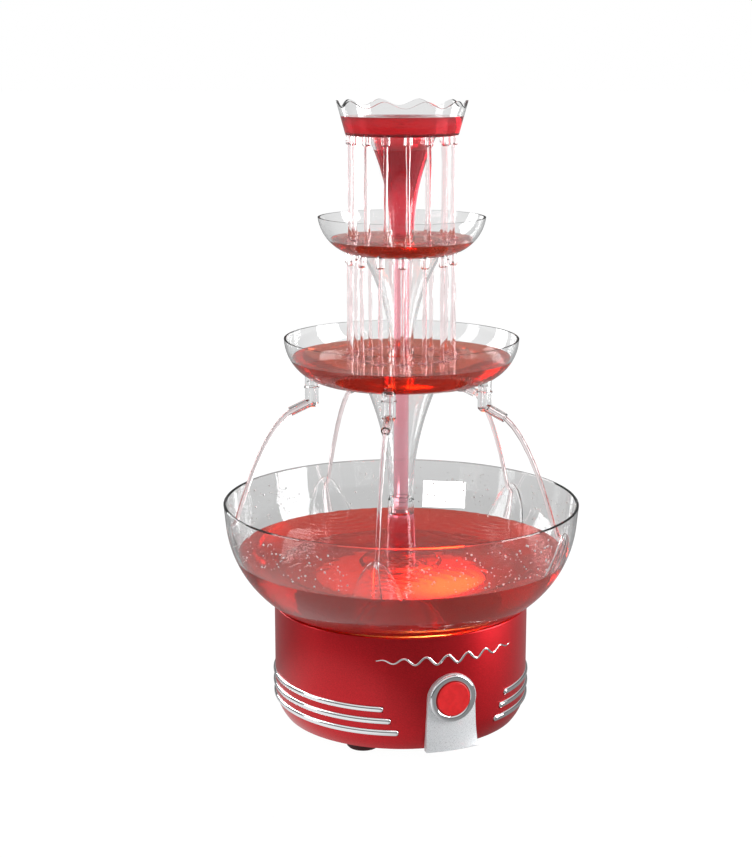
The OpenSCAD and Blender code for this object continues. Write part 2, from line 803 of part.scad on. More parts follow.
module lower_bush() {
  color("#B08A4A")
    washer(bush_r, shaft_r + run_fit, can_bottom_z - cap_nose_h, can_bottom_z - cap_nose_h + bush_l);
}

module motor_shaft() {
  color("#C8CCD0") rod(shaft_r, can_bottom_z - cap_nose_h + 1, hub_top_z - hub_cap_t);
}

// Slotted core of the rotor
module armature() {
  color("#8A5A32") difference() {
    rod(armature_r, can_bottom_z + core_gap, can_top_z - core_gap);
    rod(shaft_r + glue_gap / 2, can_bottom_z, can_top_z);
    for (i = [0:armature_slots - 1]) rotate([0, 0, 360 * i / armature_slots])
      translate([armature_r - slot_depth, -slot_w / 2, can_bottom_z])
        cube([slot_depth + over, slot_w, motor_h]);
  }
}

magnet_ring_r = drive_hub_r - magnet_r - 2;
magnet_h = 5;

// Flanged hub on the shaft, with a pocket for each driving magnet
module drive_hub() {
  color("#E8E8E4") difference() {
    union() {
      rod(drive_hub_r, hub_top_z - magnet_h - 2, hub_top_z);
      rod(hub_boss_r, hub_top_z - drive_hub_h, hub_top_z);
    }
    rod(shaft_r + glue_gap / 2, hub_top_z - drive_hub_h - over, hub_top_z - hub_cap_t);
    ring_of(magnet_count, 0) translate([magnet_ring_r, 0, 0])
      rod(magnet_r + glue_gap, hub_top_z - magnet_h, hub_top_z + over);
  }
}

module drive_magnets() {
  color("#C0C4C8") ring_of(magnet_count, 0) translate([magnet_ring_r, 0, 0])
    rod(magnet_r, hub_top_z - magnet_h, hub_top_z - 0.2);
}

module lamp_board() {
  color("#2E6B3A") difference() {
    washer(board_r, board_hole_r, board_z, board_z + board_t);
    ring_of(post_count, 0) translate([post_ring_r, 0, 0])
      rod(post_peg_r + glue_gap, board_z - over, board_z + board_t + over);
  }
}

// Domed lamps that light the bowl through the lens
module lamps() {
  flange_r = lamp_r + 0.6;
  flange_t = 1;
  neck_h = 3;
  color("#FFF4D8") ring_of(lamp_count, 0) translate([lamp_ring_r, 0, board_z + board_t])
    rotate_extrude() polygon(concat([[0, 0], [flange_r, 0], [flange_r, flange_t], [lamp_r, flange_t]],
      arc(0, neck_h, lamp_r, 0, 90, 8)));
}

module light_lens() {
  color("#F4F6F8", 0.6) rod(lens_r, deck_z - lens_t, deck_z);
}

// MAIN BOWL

bowl_seat_r = base_r - 1.4;
bowl_foot_r = recess_r - seat_gap;
bowl_foot_t = 3;
floor_t = 4;
well_wall = 3;
well_gap = 1;
well_floor_z = deck_z + well_gap + well_wall;
inner_fillet = 8;
shoulder_z = base_h + 0.5;

// The curve from the straight band to the seat: one arc that starts along the band
band_foot_r = bowl_rim_r - bowl_band_h * tan(bowl_band_lean);
band_foot_z = rim_z - bowl_band_h;
chord = norm([band_foot_r - bowl_seat_r, band_foot_z - shoulder_z]);
half_turn = atan2(band_foot_r - bowl_seat_r, band_foot_z - shoulder_z) - bowl_band_lean;
bowl_curve_r = chord / (2 * sin(half_turn));
bowl_centre_r = band_foot_r - bowl_curve_r * cos(bowl_band_lean);
bowl_centre_z = band_foot_z + bowl_curve_r * sin(bowl_band_lean);
// Radius of the bowl's wall at height z, with the wall moved in by t
function bowl_r(z, t) = bowl_centre_r + sqrt(pow(bowl_curve_r - t, 2) - pow(bowl_centre_z - z, 2));

// Points of the fillet that leads from the bowl's side, at radius r, down to a floor at height z
function floor_fillet(r, z) = [[r - 3.6, z + 4], [r - 7.6, z + 1.2], [r - 12.5, z]];

module bowl_section() {
  inner_r = bowl_curve_r - bowl_wall;
  band_in = bowl_wall / cos(bowl_band_lean);
  fillet_r = bowl_r(floor_z + inner_fillet, bowl_wall);
  polygon(concat(
    [[0, well_floor_z - well_wall], [well_r + well_wall - 2, well_floor_z - well_wall],
     [well_r + well_wall, well_floor_z - well_wall + 2], [well_r + well_wall, floor_z - floor_t],
     [bowl_foot_r - bowl_foot_t, floor_z - floor_t], [bowl_foot_r - bowl_foot_t, deck_z],
     [bowl_foot_r, deck_z], [bowl_foot_r, shoulder_z]],
    arc(bowl_centre_r, bowl_centre_z, bowl_curve_r,
      -bowl_band_lean - 2 * half_turn, -bowl_band_lean, 18),
    [[bowl_rim_r - 0.1, rim_z - 1], [bowl_rim_r - 0.8, rim_z],
     [bowl_rim_r - band_in + 0.8, rim_z], [bowl_rim_r - band_in, rim_z - 1]],
    arc(bowl_centre_r, bowl_centre_z, inner_r, -bowl_band_lean,
      -asin((bowl_centre_z - floor_z - inner_fillet) / inner_r), 18),
    floor_fillet(fillet_r, floor_z),
    [[well_r + 1.5, floor_z], [well_r, floor_z - 1.5], [well_r, well_floor_z],
     [pin_boss_r, well_floor_z], [pin_boss_r, pin_seat_z], [0, pin_seat_z]]));
}

pin_boss_r = 3.2;
pin_seat_z = well_floor_z + 1.2;
pin_bottom_z = well_floor_z - 2;

module main_bowl() {
  color("#E6EEF2", 0.45) difference() {
    rotate_extrude() bowl_section();
    rod(pin_r + glue_gap / 2, pin_bottom_z, pin_seat_z + 1);
  }
}

// PUMP

impeller_z = pin_seat_z + 0.3;
impeller_hub_r = 4.5;
disc_z = impeller_z + 7;
disc_t = 2;
vane_h = 6;
vane_top_z = disc_z + disc_t + vane_h;
sleeve_r = 8;
skirt_t = 2.2;

module impeller_pin() {
  color("#C8CCD0") rod(pin_r, pin_bottom_z + 0.1, vane_top_z + 2);
}

// Backward-curved vane, drawn in plan: part of a circle that passes through the axis
module vane_plan() {
  arc_r = 11;
  vane_t = 1.4;
  intersection() {
    translate([arc_r, 0]) difference() {
      circle(r = arc_r);
      circle(r = arc_r - vane_t);
    }
    difference() {
      circle(r = impeller_r - 0.6);
      circle(r = impeller_hub_r - 0.5);
    }
    square([impeller_r, impeller_r]);
  }
}

module impeller() {
  color("#F2F2EE") difference() {
    union() {
      rod(impeller_r, disc_z, disc_z + disc_t);
      rod(sleeve_r, impeller_z, disc_z + eps);
      rod(impeller_hub_r, disc_z, vane_top_z);
      washer(impeller_r, impeller_r - skirt_t, impeller_z, disc_z + eps);
      for (i = [0:vane_count - 1]) rotate([0, 0, 360 * i / vane_count])
        translate([0, 0, disc_z + disc_t - eps]) linear_extrude(vane_h) vane_plan();
    }
    rod(pin_r + run_fit, impeller_z - over, vane_top_z + over);
  }
}

module impeller_magnet() {
  color("#4A4A4E")
    washer(impeller_r - skirt_t - glue_gap, sleeve_r + glue_gap, impeller_z + 0.4, disc_z);
}

collar_r = riser_foot_r + socket_wall;
collar_z = floor_z + pump_cover_h;
collar_l = 14;
riser_plug_r = riser_foot_r - 1.2;
cover_skin = 2.2;
skirt_h = 9;
skirt_lean = 2;
shoulder = 4;
inlet_w = 4;
inlet_lift = 3;
inlet_h = 4;

// Points up the pump cover's side, moved out by g
function cover_side(g) =
  let (lean_z = collar_z - collar_l, skirt_z = floor_z + skirt_h,
    skirt_r = pump_cover_r - skirt_lean)
  [[pump_cover_r + g, floor_z + 2 + g], [skirt_r + g, skirt_z + g],
   [skirt_r - shoulder + g, skirt_z + shoulder + g],
   [collar_r + 2 + g, lean_z + g], [collar_r + g, lean_z + 2 + g]];

// Bell-shaped cover over the impeller, with inlet slots round its skirt
module pump_cover() {
  lean_z = collar_z - collar_l;
  skirt_z = floor_z + skirt_h;
  skirt_r = pump_cover_r - skirt_lean;
  color("#E6EEF2", 0.6) difference() {
    rotate_extrude() polygon(concat(
      [[pump_cover_r - 3, floor_z], [pump_cover_r, floor_z]], cover_side(0),
      [[collar_r, collar_z], [riser_plug_r + glue_gap, collar_z], [riser_plug_r + glue_gap, lean_z],
      [collar_r, lean_z - cover_skin], [skirt_r - shoulder - 1, skirt_z + shoulder - cover_skin],
      [skirt_r - cover_skin, skirt_z - 1]]));
    ring_of(inlet_count, 0)
      translate([skirt_r - 3 * cover_skin, -inlet_w / 2, floor_z + inlet_lift])
        cube([5 * cover_skin, inlet_w, inlet_h]);
  }
}

// Riser from the pump to the tower, with a ring at its foot and a socket at its top
module riser_tube() {
  ring_z = collar_z + 3;
  ring_chamfer = 0.6;
  top_r = socket_r + socket_wall;
  steps = 8;
  bore_r = riser_plug_r - socket_wall;
  plug_z = collar_z - collar_l + 1;
  socket_z = riser_top_z - plug_l - 1;
  color("#E6EEF2", 0.6) rotate_extrude() polygon(concat(
    [[bore_r, plug_z], [riser_plug_r, plug_z], [riser_plug_r, collar_z], [collar_r, collar_z],
     [collar_r, ring_z - ring_chamfer], [collar_r - ring_chamfer, ring_z]],
    [for (i = [0:steps]) let (s = i / steps)
      [top_r + (riser_foot_r - top_r) * pow(1 - s, 2), ring_z + (riser_top_z - ring_z) * s]],
    [[socket_r, riser_top_z], [socket_r, socket_z], [socket_r - 1.5, socket_z],
     [bore_r, ring_z]]));
}

// TOWER

// Outside radius of a column at a height between its neck and its mouth
function flare_r(z, z0, z1, mouth_r) =
  neck_r + (mouth_r - neck_r) * pow((z - z0) / (z1 - z0), column_flare);

// Trumpet-shaped column: a plug, a neck and a flared mouth, hollow all the way.
// bore is the plug's bore, and web_h is how far the narrow bore reaches above the neck.
module column(z0, z1, mouth_r, bore, web_h) {
  steps = 14;
  plug_r = socket_r - joint_gap;
  plug_chamfer = 0.8;
  flare = [for (i = [0:steps]) let (z = z0 + (z1 - z0) * i / steps)
    [flare_r(z, z0, z1, mouth_r), z]];
  rotate_extrude() polygon(concat(
    [[bore, z0 - plug_l], [plug_r - plug_chamfer, z0 - plug_l],
     [plug_r, z0 - plug_l + plug_chamfer], [plug_r, z0]],
    flare,
    [for (i = [steps:-1:1]) flare[i] - [column_wall, 0]],
    [[neck_r - column_wall, z0 + web_h], [bore, z0 + web_h]]));
}

// Height of the web that holds a supply tube, and how far the tube enters the tier's floor
tube_web_h = 4;
stem_web_h = 0.5;
tube_entry = 2;

module lower_column() {
  color("#E6EEF2", 0.45)
    column(riser_top_z, lower_z, lower_mouth_r, tube_r + glue_gap, tube_web_h);
}

module upper_column() {
  color("#E6EEF2", 0.45)
    column(lower_hub_z, upper_z, upper_mouth_r, tube_r + glue_gap, tube_web_h);
}

module crown_stem() {
  color("#E6EEF2", 0.45)
    column(upper_hub_z, crown_z, stem_mouth_r, socket_r - joint_gap - socket_wall, stem_web_h);
}

module lower_supply_tube() {
  color("#E07088", 0.6)
    washer(tube_r, tube_r - tube_wall, riser_top_z - plug_l, lower_z + tube_entry);
}

module upper_supply_tube() {
  color("#E07088", 0.6)
    washer(tube_r, tube_r - tube_wall, lower_hub_z - plug_l, upper_z + tube_entry);
}

// TIERS

// Outside of a dish, filled: a flat floor and one side arc up to the rim
module dish_outside(z, rim_r, depth, curve_r) {
  centre_r = rim_r - sqrt(pow(curve_r, 2) - pow(curve_r - depth, 2));
  rotate_extrude() polygon(concat(
    [[0, z]], arc(centre_r, z + curve_r, curve_r, -90, -asin((curve_r - depth) / curve_r), 16),
    [[0, z + depth]]));
}

// Inside of a dish, round the socket in its middle
module dish_inside(z, rim_r, depth, curve_r, hub_h) {
  centre_r = rim_r - sqrt(pow(curve_r, 2) - pow(curve_r - depth, 2));
  inner_r = curve_r - tier_wall;
  hub_r = socket_r + socket_wall;
  above = 1;
  rotate_extrude() polygon(concat(
    [[hub_r, z + hub_h], [hub_r, z + tier_wall + 1], [hub_r + 1, z + tier_wall]],
    arc(centre_r, z + curve_r, inner_r, -90, -asin((curve_r - depth) / inner_r), 16),
    [[centre_r + inner_r + 0.4, z + depth + above], [0, z + depth + above], [0, z + hub_h]]));
}

// Bores of the middle socket: the supply tube below and the next column's plug above
module hub_bores(z, hub_h) {
  rod(tube_r + glue_gap, z - tube_ring_h - over, z + hub_h);
  rod(socket_r, z + tube_entry + 0.8, z + hub_h + over);
}

tube_ring_h = 6;
mouth_ring_h = 2;
under_ring_t = 2;

// Ring under the floor that holds the supply tube, and one that centres the column's mouth
module under_rings(z, foot_z, mouth_r) {
  fit_r = flare_r(z - mouth_ring_h, foot_z, z, mouth_r) - column_wall - glue_gap;
  washer(tube_r + glue_gap + under_ring_t, tube_r + glue_gap, z - tube_ring_h, z + eps);
  washer(fit_r, fit_r - under_ring_t, z - mouth_ring_h, z + eps);
}

spout_stub_z = lower_z - 3;
spout_plug_r = spout_r - 1.8;

module lower_tier() {
  color("#E6EEF2", 0.45) difference() {
    union() {
      dish_outside(lower_z, lower_rim_r, lower_depth, lower_curve_r);
      ring_of(spout_count, spout_first_a) translate([spout_ring_r, 0, 0])
        rod(spout_r, spout_stub_z, lower_z + lower_depth / 2);
      under_rings(lower_z, riser_top_z, lower_mouth_r);
    }
    dish_inside(lower_z, lower_rim_r, lower_depth, lower_curve_r, lower_hub_h);
    hub_bores(lower_z, lower_hub_h);
    ring_of(spout_count, spout_first_a) translate([spout_ring_r, 0, 0])
      rod(spout_plug_r + run_fit, spout_stub_z - over, lower_z + lower_depth);
  }
}

// Nozzle that drains a floor: a tube with a tapered tip
module nozzle(z, top_z) {
  tip_h = 1.5;
  tip_r = nozzle_r - 1.2;
  translate([0, 0, z - nozzle_l]) cylinder(r1 = tip_r, r2 = nozzle_r, h = tip_h);
  rod(nozzle_r, z - nozzle_l + tip_h, top_z);
}

module upper_tier() {
  color("#E6EEF2", 0.45) difference() {
    union() {
      dish_outside(upper_z, upper_rim_r, upper_depth, upper_curve_r);
      ring_of(nozzle_count, upper_nozzle_a) translate([upper_nozzle_ring_r, 0, 0])
        nozzle(upper_z, upper_z + upper_depth / 2);
      under_rings(upper_z, lower_hub_z, upper_mouth_r);
    }
    dish_inside(upper_z, upper_rim_r, upper_depth, upper_curve_r, upper_hub_h);
    hub_bores(upper_z, upper_hub_h);
    ring_of(nozzle_count, upper_nozzle_a) translate([upper_nozzle_ring_r, 0, 0])
      rod(nozzle_bore_r, upper_z - nozzle_l - over, upper_z + upper_depth);
  }
}

// CROWN

crown_ring_h = 3;
stem_fit_r = flare_r(crown_z - crown_ring_h, upper_hub_z, crown_z, stem_mouth_r)
  - column_wall - glue_gap;
crown_round = 2;

// Wave that is cut out of one share of the crown's edge, drawn across the radius
module scallop_plan() {
  half_w = crown_top_r * tan(180 / scallop_count) + eps;
  steps = 10;
  polygon(concat(
    [for (i = [-steps:steps]) [half_w * i / steps, -scallop_depth * (1 + cos(180 * i / steps)) / 2]],
    [[half_w, over], [-half_w, over]]));
}

module scallops() {
  inner_r = crown_floor_r - 8;
  ring_of(scallop_count, scallop_a) translate([inner_r, 0, crown_z + crown_h])
    rotate([90, 0, 90]) linear_extrude(crown_top_r + 8 - inner_r) scallop_plan();
}

// Cup on the stem's mouth: the drink rises through its middle and leaves by the nozzles
module crown_cup() {
  top_z = crown_z + crown_h;
  inside_z = crown_z + tier_wall;
  inside_r = crown_floor_r - tier_wall;
  lean = (crown_top_r - crown_floor_r) / crown_h;
  color("#E6EEF2", 0.45) difference() {
    union() {
      rotate_extrude() polygon(concat([[0, crown_z]],
        arc(crown_floor_r - crown_round, crown_z + crown_round, crown_round, -90, 0, 4),
        [[crown_top_r, top_z], [0, top_z]]));
      ring_of(nozzle_count, crown_nozzle_a) translate([crown_nozzle_ring_r, 0, 0])
        nozzle(crown_z, crown_z + tier_wall / 2);
      washer(stem_fit_r, stem_fit_r - under_ring_t, crown_z - crown_ring_h, crown_z + eps);
    }
    rotate_extrude() polygon([[0, inside_z], [inside_r - over, inside_z],
      [inside_r + lean * (tier_wall + over), inside_z + over],
      [crown_top_r - tier_wall + lean * over, top_z + over], [0, top_z + over]]);
    rod(stem_fit_r - under_ring_t, crown_z - crown_ring_h - over, top_z);
    ring_of(nozzle_count, crown_nozzle_a) translate([crown_nozzle_ring_r, 0, 0])
      rod(nozzle_bore_r, crown_z - nozzle_l - over, inside_z + over);
    scallops();
  }
}

// SPOUTS

spout_flange_r = spout_r + 0.9;
spout_flange_t = 1.2;
spout_gap = 0.1;
spout_bend_z = spout_stub_z - 15;
spout_tip_h = 3;
spout_tip_z = spout_bend_z - 5;
spout_tip_r = spout_r - 2.6;
spout_plug_top_z = lower_z + 2;

// Elbow that turns in its stub: a plug, a collar, an upright and a sloping arm
module spout(number) {
  arm_l = spout_reach / cos(spout_slope);
  collar_top_z = spout_stub_z - spout_gap;
  color("#E6EEF2", 0.6) at(spout_first_a + 360 * number / spout_count)
    translate([spout_ring_r, 0, 0]) difference() {
      union() {
        rod(spout_plug_r, collar_top_z - eps, spout_plug_top_z);
        rod(spout_flange_r, collar_top_z - spout_flange_t, collar_top_z);
        rod(spout_r, spout_tip_z + spout_tip_h - eps, collar_top_z - eps);
        translate([0, 0, spout_tip_z]) cylinder(r1 = spout_tip_r, r2 = spout_r, h = spout_tip_h);
        translate([0, 0, spout_bend_z]) rotate([0, 90 + spout_slope, 0])
          cylinder(r = spout_arm_r, h = arm_l);
      }
      rod(spout_bore_r, spout_bend_z - 1, spout_plug_top_z + over);
      translate([0, 0, spout_bend_z]) rotate([0, 90 + spout_slope, 0])
        cylinder(r = spout_bore_r - 0.1, h = arm_l + over);
    }
}

// DRINK

// Drink in the main bowl, round the pump cover and the foot of the riser
module drink_in_bowl() {
  level = floor_z + bowl_drink;
  low = floor_z + drink_gap;
  inner_r = bowl_curve_r - bowl_wall - drink_gap;
  fillet_r = bowl_r(floor_z + inner_fillet, bowl_wall) - drink_gap;
  color("#D4202C", 0.8) difference() {
    rotate_extrude() polygon(concat(
      [[0, level]],
      arc(bowl_centre_r, bowl_centre_z, inner_r, -asin((bowl_centre_z - level) / inner_r),
        -asin((bowl_centre_z - floor_z - inner_fillet) / inner_r), 12),
      floor_fillet(fillet_r, low), [[0, low]]));
    rotate_extrude() polygon(concat(
      [[0, floor_z], [pump_cover_r + drink_gap, floor_z]], cover_side(drink_gap),
      [[collar_r + drink_gap, level + over], [0, level + over]]));
  }
}

// Drink in a tier, round the socket in its middle
module drink_in_dish(z, rim_r, depth, curve_r, drink_h) {
  centre_r = rim_r - sqrt(pow(curve_r, 2) - pow(curve_r - depth, 2));
  inner_r = curve_r - tier_wall - drink_gap;
  hub_r = socket_r + socket_wall + drink_gap;
  low = z + tier_wall + drink_gap;
  color("#D4202C", 0.8) rotate_extrude() polygon(concat(
    [[hub_r, z + drink_h], [hub_r, low + 1], [hub_r + 1, low]],
    arc(centre_r, z + curve_r, inner_r, -90, -asin((curve_r - drink_h) / inner_r), 16)));
}

module drink_in_lower_tier() {
  drink_in_dish(lower_z, lower_rim_r, lower_depth, lower_curve_r, lower_drink);
}

module drink_in_upper_tier() {
  drink_in_dish(upper_z, upper_rim_r, upper_depth, upper_curve_r, upper_drink);
}

// Drink that stands in the crown and in the stem below it
module drink_in_crown() {
  steps = 12;
  foot_z = upper_hub_z - plug_l + drink_gap;
  bore_r = socket_r - joint_gap - socket_wall - drink_gap;
  ring_z = crown_z - crown_ring_h - drink_gap;
  ring_bore_r = stem_fit_r - under_ring_t - drink_gap;
  level = crown_z + crown_drink;
  low = crown_z + tier_wall + drink_gap;
  side_r = crown_floor_r - tier_wall - drink_gap;
  lean = (crown_top_r - crown_floor_r) / crown_h;
  color("#D4202C", 0.8) rotate_extrude() polygon(concat(
    [[0, foot_z], [bore_r, foot_z], [bore_r, upper_hub_z + stem_web_h + drink_gap]],
    [for (i = [1:steps]) let (z = upper_hub_z + (ring_z - upper_hub_z) * i / steps)
      [flare_r(z, upper_hub_z, crown_z, stem_mouth_r) - column_wall - drink_gap, z]],
    [[ring_bore_r, ring_z], [ring_bore_r, low], [side_r - over, low],
     [side_r + lean * (tier_wall + over), low + over],
     [side_r + lean * crown_drink, level], [0, level]]));
}

// Ring of streams that fall out of the nozzles
module streams(ring_r, first_a, low_z, top_z) {
  color("#E8707C", 0.7) ring_of(nozzle_count, first_a) translate([ring_r, 0, 0])
    rod(nozzle_bore_r - drink_gap, low_z, top_z);
}

module streams_from_upper_tier() {
  streams(upper_nozzle_ring_r, upper_nozzle_a, lower_z + lower_drink + drink_gap,
    upper_z + tier_wall);
}

module streams_from_crown() {
  streams(crown_nozzle_ring_r, crown_nozzle_a, upper_z + upper_drink + drink_gap,
    crown_z + tier_wall);
}

base_housing();
bottom_cover();
cover_screws();
foot(0);  // foot_front_right
foot(1);  // foot_rear_right
foot(2);  // foot_rear_left
foot(3);  // foot_front_left
trim_strip(0, 1);  // trim_right_lower
trim_strip(1, 1);  // trim_right_middle
trim_strip(2, 1);  // trim_right_upper
trim_strip(0, -1);  // trim_left_lower
trim_strip(1, -1);  // trim_left_middle
trim_strip(2, -1);  // trim_left_upper
front_bezel();
button_ring();
power_button();
button_spring();
switch_plate();
switch_screws();
switch_body();
cord_grommet();
motor_bracket();
bracket_screws();
motor_can();
motor_end_cap();
field_magnets();
upper_bush();
lower_bush();
motor_shaft();
armature();
drive_hub();
drive_magnets();
lamp_board();
lamps();
light_lens();
main_bowl();
impeller_pin();
impeller();
impeller_magnet();
pump_cover();
riser_tube();
lower_column();
lower_supply_tube();
lower_tier();
spout(0);  // spout_front
spout(1);  // spout_right
spout(2);  // spout_rear_right
spout(3);  // spout_rear_left
spout(4);  // spout_left
upper_column();
upper_supply_tube();
upper_tier();
crown_stem();
crown_cup();
drink_in_bowl();
drink_in_lower_tier();
drink_in_upper_tier();
drink_in_crown();
streams_from_upper_tier();
streams_from_crown();
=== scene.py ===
# %% [markdown]
# # A tiered drinks fountain
# This lesson dresses a finished CAD model of a drinks fountain in Blender: clear plastic, red
# lacquer, chrome, and the drink itself. The CAD model comes in as a fixed frame. Every new piece
# is modelled in millimetres around the fountain's upright axis and turned to metres at the end.

# %% The frame
import json
import math
import random

import bmesh
import bpy
from mathutils import Matrix, Vector

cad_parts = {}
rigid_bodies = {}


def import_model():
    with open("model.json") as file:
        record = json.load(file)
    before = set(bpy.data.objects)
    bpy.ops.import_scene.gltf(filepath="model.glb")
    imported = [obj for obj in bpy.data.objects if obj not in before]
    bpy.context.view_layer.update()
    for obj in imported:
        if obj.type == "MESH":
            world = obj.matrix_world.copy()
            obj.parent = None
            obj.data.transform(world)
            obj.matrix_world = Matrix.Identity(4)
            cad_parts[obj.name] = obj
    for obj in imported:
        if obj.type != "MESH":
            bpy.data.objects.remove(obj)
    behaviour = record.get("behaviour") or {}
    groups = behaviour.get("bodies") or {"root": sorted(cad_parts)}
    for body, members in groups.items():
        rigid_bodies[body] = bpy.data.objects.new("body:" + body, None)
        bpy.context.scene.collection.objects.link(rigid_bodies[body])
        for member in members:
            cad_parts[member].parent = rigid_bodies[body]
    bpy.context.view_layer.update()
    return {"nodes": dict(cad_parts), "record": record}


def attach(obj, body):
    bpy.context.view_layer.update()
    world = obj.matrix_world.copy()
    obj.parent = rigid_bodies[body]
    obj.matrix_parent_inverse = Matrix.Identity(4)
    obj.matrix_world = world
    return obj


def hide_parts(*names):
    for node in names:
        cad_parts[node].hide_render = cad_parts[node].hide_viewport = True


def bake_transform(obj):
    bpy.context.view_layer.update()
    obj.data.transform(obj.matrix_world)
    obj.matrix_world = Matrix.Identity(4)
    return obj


for leftover in list(bpy.data.objects):
    bpy.data.objects.remove(leftover)
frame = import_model()
MM = 0.001
scene = bpy.context.scene

# %% [markdown]
# ## Camera
# The photograph was taken from the front left, a little above the crown, with a long lens. The
# camera stands 22.5 degrees round from the push button and looks 12 degrees down. A small turn to
# the left puts the fountain right of the middle, as in the photograph, so no lens shift is needed.

# %% Camera
IMAGE = (752, 858)
FOCAL_PX = 1741.8
CAMERA_AZIMUTH = -22.5
CAMERA_REACH = 1696.6
CAMERA_HEIGHT = 666.4
CAMERA_PITCH = 12.21
CAMERA_TURN = math.degrees(math.atan((401.15 - IMAGE[0] / 2) / FOCAL_PX))


def around(azimuth, radius, height):
    """Point at an azimuth, counted from the front (-Y) towards the right (+X), in millimetres."""
    a = math.radians(azimuth)
    return Vector((radius * math.sin(a), -radius * math.cos(a), height))


lens = bpy.data.cameras.new("camera")
lens.sensor_width = 36
lens.lens = FOCAL_PX / max(IMAGE) * lens.sensor_width
lens.clip_end = 30
camera = bpy.data.objects.new("camera", lens)
camera.location = around(CAMERA_AZIMUTH, CAMERA_REACH, CAMERA_HEIGHT) * MM
camera_heading = CAMERA_AZIMUTH + CAMERA_TURN / math.cos(math.radians(CAMERA_PITCH))
camera.rotation_euler = (math.radians(90 - CAMERA_PITCH), 0, math.radians(camera_heading))
scene.collection.objects.link(camera)
scene.camera = camera
scene.view_settings.view_transform = "Standard"
# A ray through the bowls crosses far more surfaces than usual, so it is followed for longer
BOUNCES = 32
scene.cycles.max_bounces = BOUNCES
scene.cycles.transmission_bounces = BOUNCES
print("camera:", [round(v, 3) for v in camera.location], "lens", round(lens.lens, 1), "mm")

# %% [markdown]
# ## Helpers for materials
# Colours are written as they look on a screen, so one function turns them to the linear values
# that a shader works with. One more function adds a node with its settings and its links.

# %% Material helpers
def linear(hex_colour):
    """Linear colour from an sRGB hex string, with full alpha."""
    parts = [int(hex_colour[i:i + 2], 16) / 255 for i in (1, 3, 5)]
    return [c / 12.92 if c < 0.04045 else ((c + 0.055) / 1.055) ** 2.4 for c in parts] + [1.0]


def add(tree, kind, sockets=None, **settings):
    """Adds a node. settings are its properties; sockets are values, or outputs to link from."""
    node = tree.nodes.new(kind)
    for name, value in settings.items():
        setattr(node, name, value)
    for name, value in (sockets or {}).items():
        if isinstance(value, bpy.types.NodeSocket):
            tree.links.new(value, node.inputs[name])
        else:
            node.inputs[name].default_value = value
    return node


def material(name, **sockets):
    """A new material with a Principled shader, whose sockets are given with _ for a space."""
    made = bpy.data.materials.new(name)
    made.use_nodes = True
    shader = made.node_tree.nodes["Principled BSDF"]
    for key, value in sockets.items():
        shader.inputs[key.replace("_", " ")].default_value = value
    return made, made.node_tree, shader


def surface(tree, spacing_mm, detail=3.0):
    """Noise on the piece's own coordinates, whose lumps are about spacing_mm apart."""
    place = add(tree, "ShaderNodeTexCoord")
    return add(tree, "ShaderNodeTexNoise", {"Vector": place.outputs["Object"],
               "Scale": 1 / (spacing_mm * MM), "Detail": detail, "Roughness": 0.5})


def graded(tree, factor, low, high):
    """Two colours, or two greys, mixed along the middle part of a factor, where noise lies."""
    ramp = add(tree, "ShaderNodeValToRGB", {"Fac": factor})
    for stop, position, value in zip(ramp.color_ramp.elements, (0.35, 0.65), (low, high)):
        stop.position = position
        stop.color = value if hasattr(value, "__len__") else (value, value, value, 1)
    return ramp.outputs["Color"]


def bumped(tree, shader, height, depth_mm, strength):
    """Surface relief of a real depth."""
    relief = add(tree, "ShaderNodeBump", {"Height": height, "Distance": depth_mm * MM,
                 "Strength": strength})
    tree.links.new(relief.outputs["Normal"], shader.inputs["Normal"])


# %% [markdown]
# ## Plastics, metals and lacquer
# Each finish starts from what the real one is: metallic lacquer under a clear coat on the
# housing, bright chrome on the strips and the ring, satin plating on the panel, soft rubber feet,
# and clear moulded styrene for everything that holds the drink.

# %% Red lacquer: metallic flake under a clear coat, so it is bright where it faces the light
lacquer, tree, shader = material("red_metallic_lacquer", Metallic=0.85, Roughness=0.36,
                                 Coat_Weight=0.35, Coat_Roughness=0.15, IOR=1.5)
flake = surface(tree, 0.9, detail=2)
tree.links.new(graded(tree, flake.outputs["Fac"], linear("#B40C18"), linear("#CE1522")),
               shader.inputs["Base Color"])
peel = surface(tree, 2.2, detail=1)
bumped(tree, shader, peel.outputs["Fac"], 0.02, 0.5)

# %% Chrome plating: almost a mirror, with the faint haze of handling
chrome, tree, shader = material("chrome_plating", Base_Color=linear("#E6E8EA"), Metallic=1.0)
haze = surface(tree, 9, detail=4)
tree.links.new(graded(tree, haze.outputs["Fac"], 0.05, 0.14), shader.inputs["Roughness"])

# %% Satin plating: the panel's fine matt silver, drawn at a grain that still shows
satin, tree, shader = material("satin_silver_plating", Metallic=0.4)
grain = surface(tree, 0.5, detail=2)
tree.links.new(graded(tree, grain.outputs["Fac"], linear("#CDD1D4"), linear("#E2E5E7")),
               shader.inputs["Base Color"])
tree.links.new(graded(tree, grain.outputs["Fac"], 0.26, 0.36), shader.inputs["Roughness"])
bumped(tree, shader, grain.outputs["Fac"], 0.02, 0.4)

# %% Red button: moulded gloss plastic with the soft unevenness of a moulding
red_plastic, tree, shader = material("red_moulded_plastic", Roughness=0.3, IOR=1.45,
                                     Subsurface_Weight=0.08, Subsurface_Scale=0.004)
mottle = surface(tree, 4, detail=2)
tree.links.new(graded(tree, mottle.outputs["Fac"], linear("#C00E14"), linear("#CE151A")),
               shader.inputs["Base Color"])
bumped(tree, shader, mottle.outputs["Fac"], 0.03, 0.3)

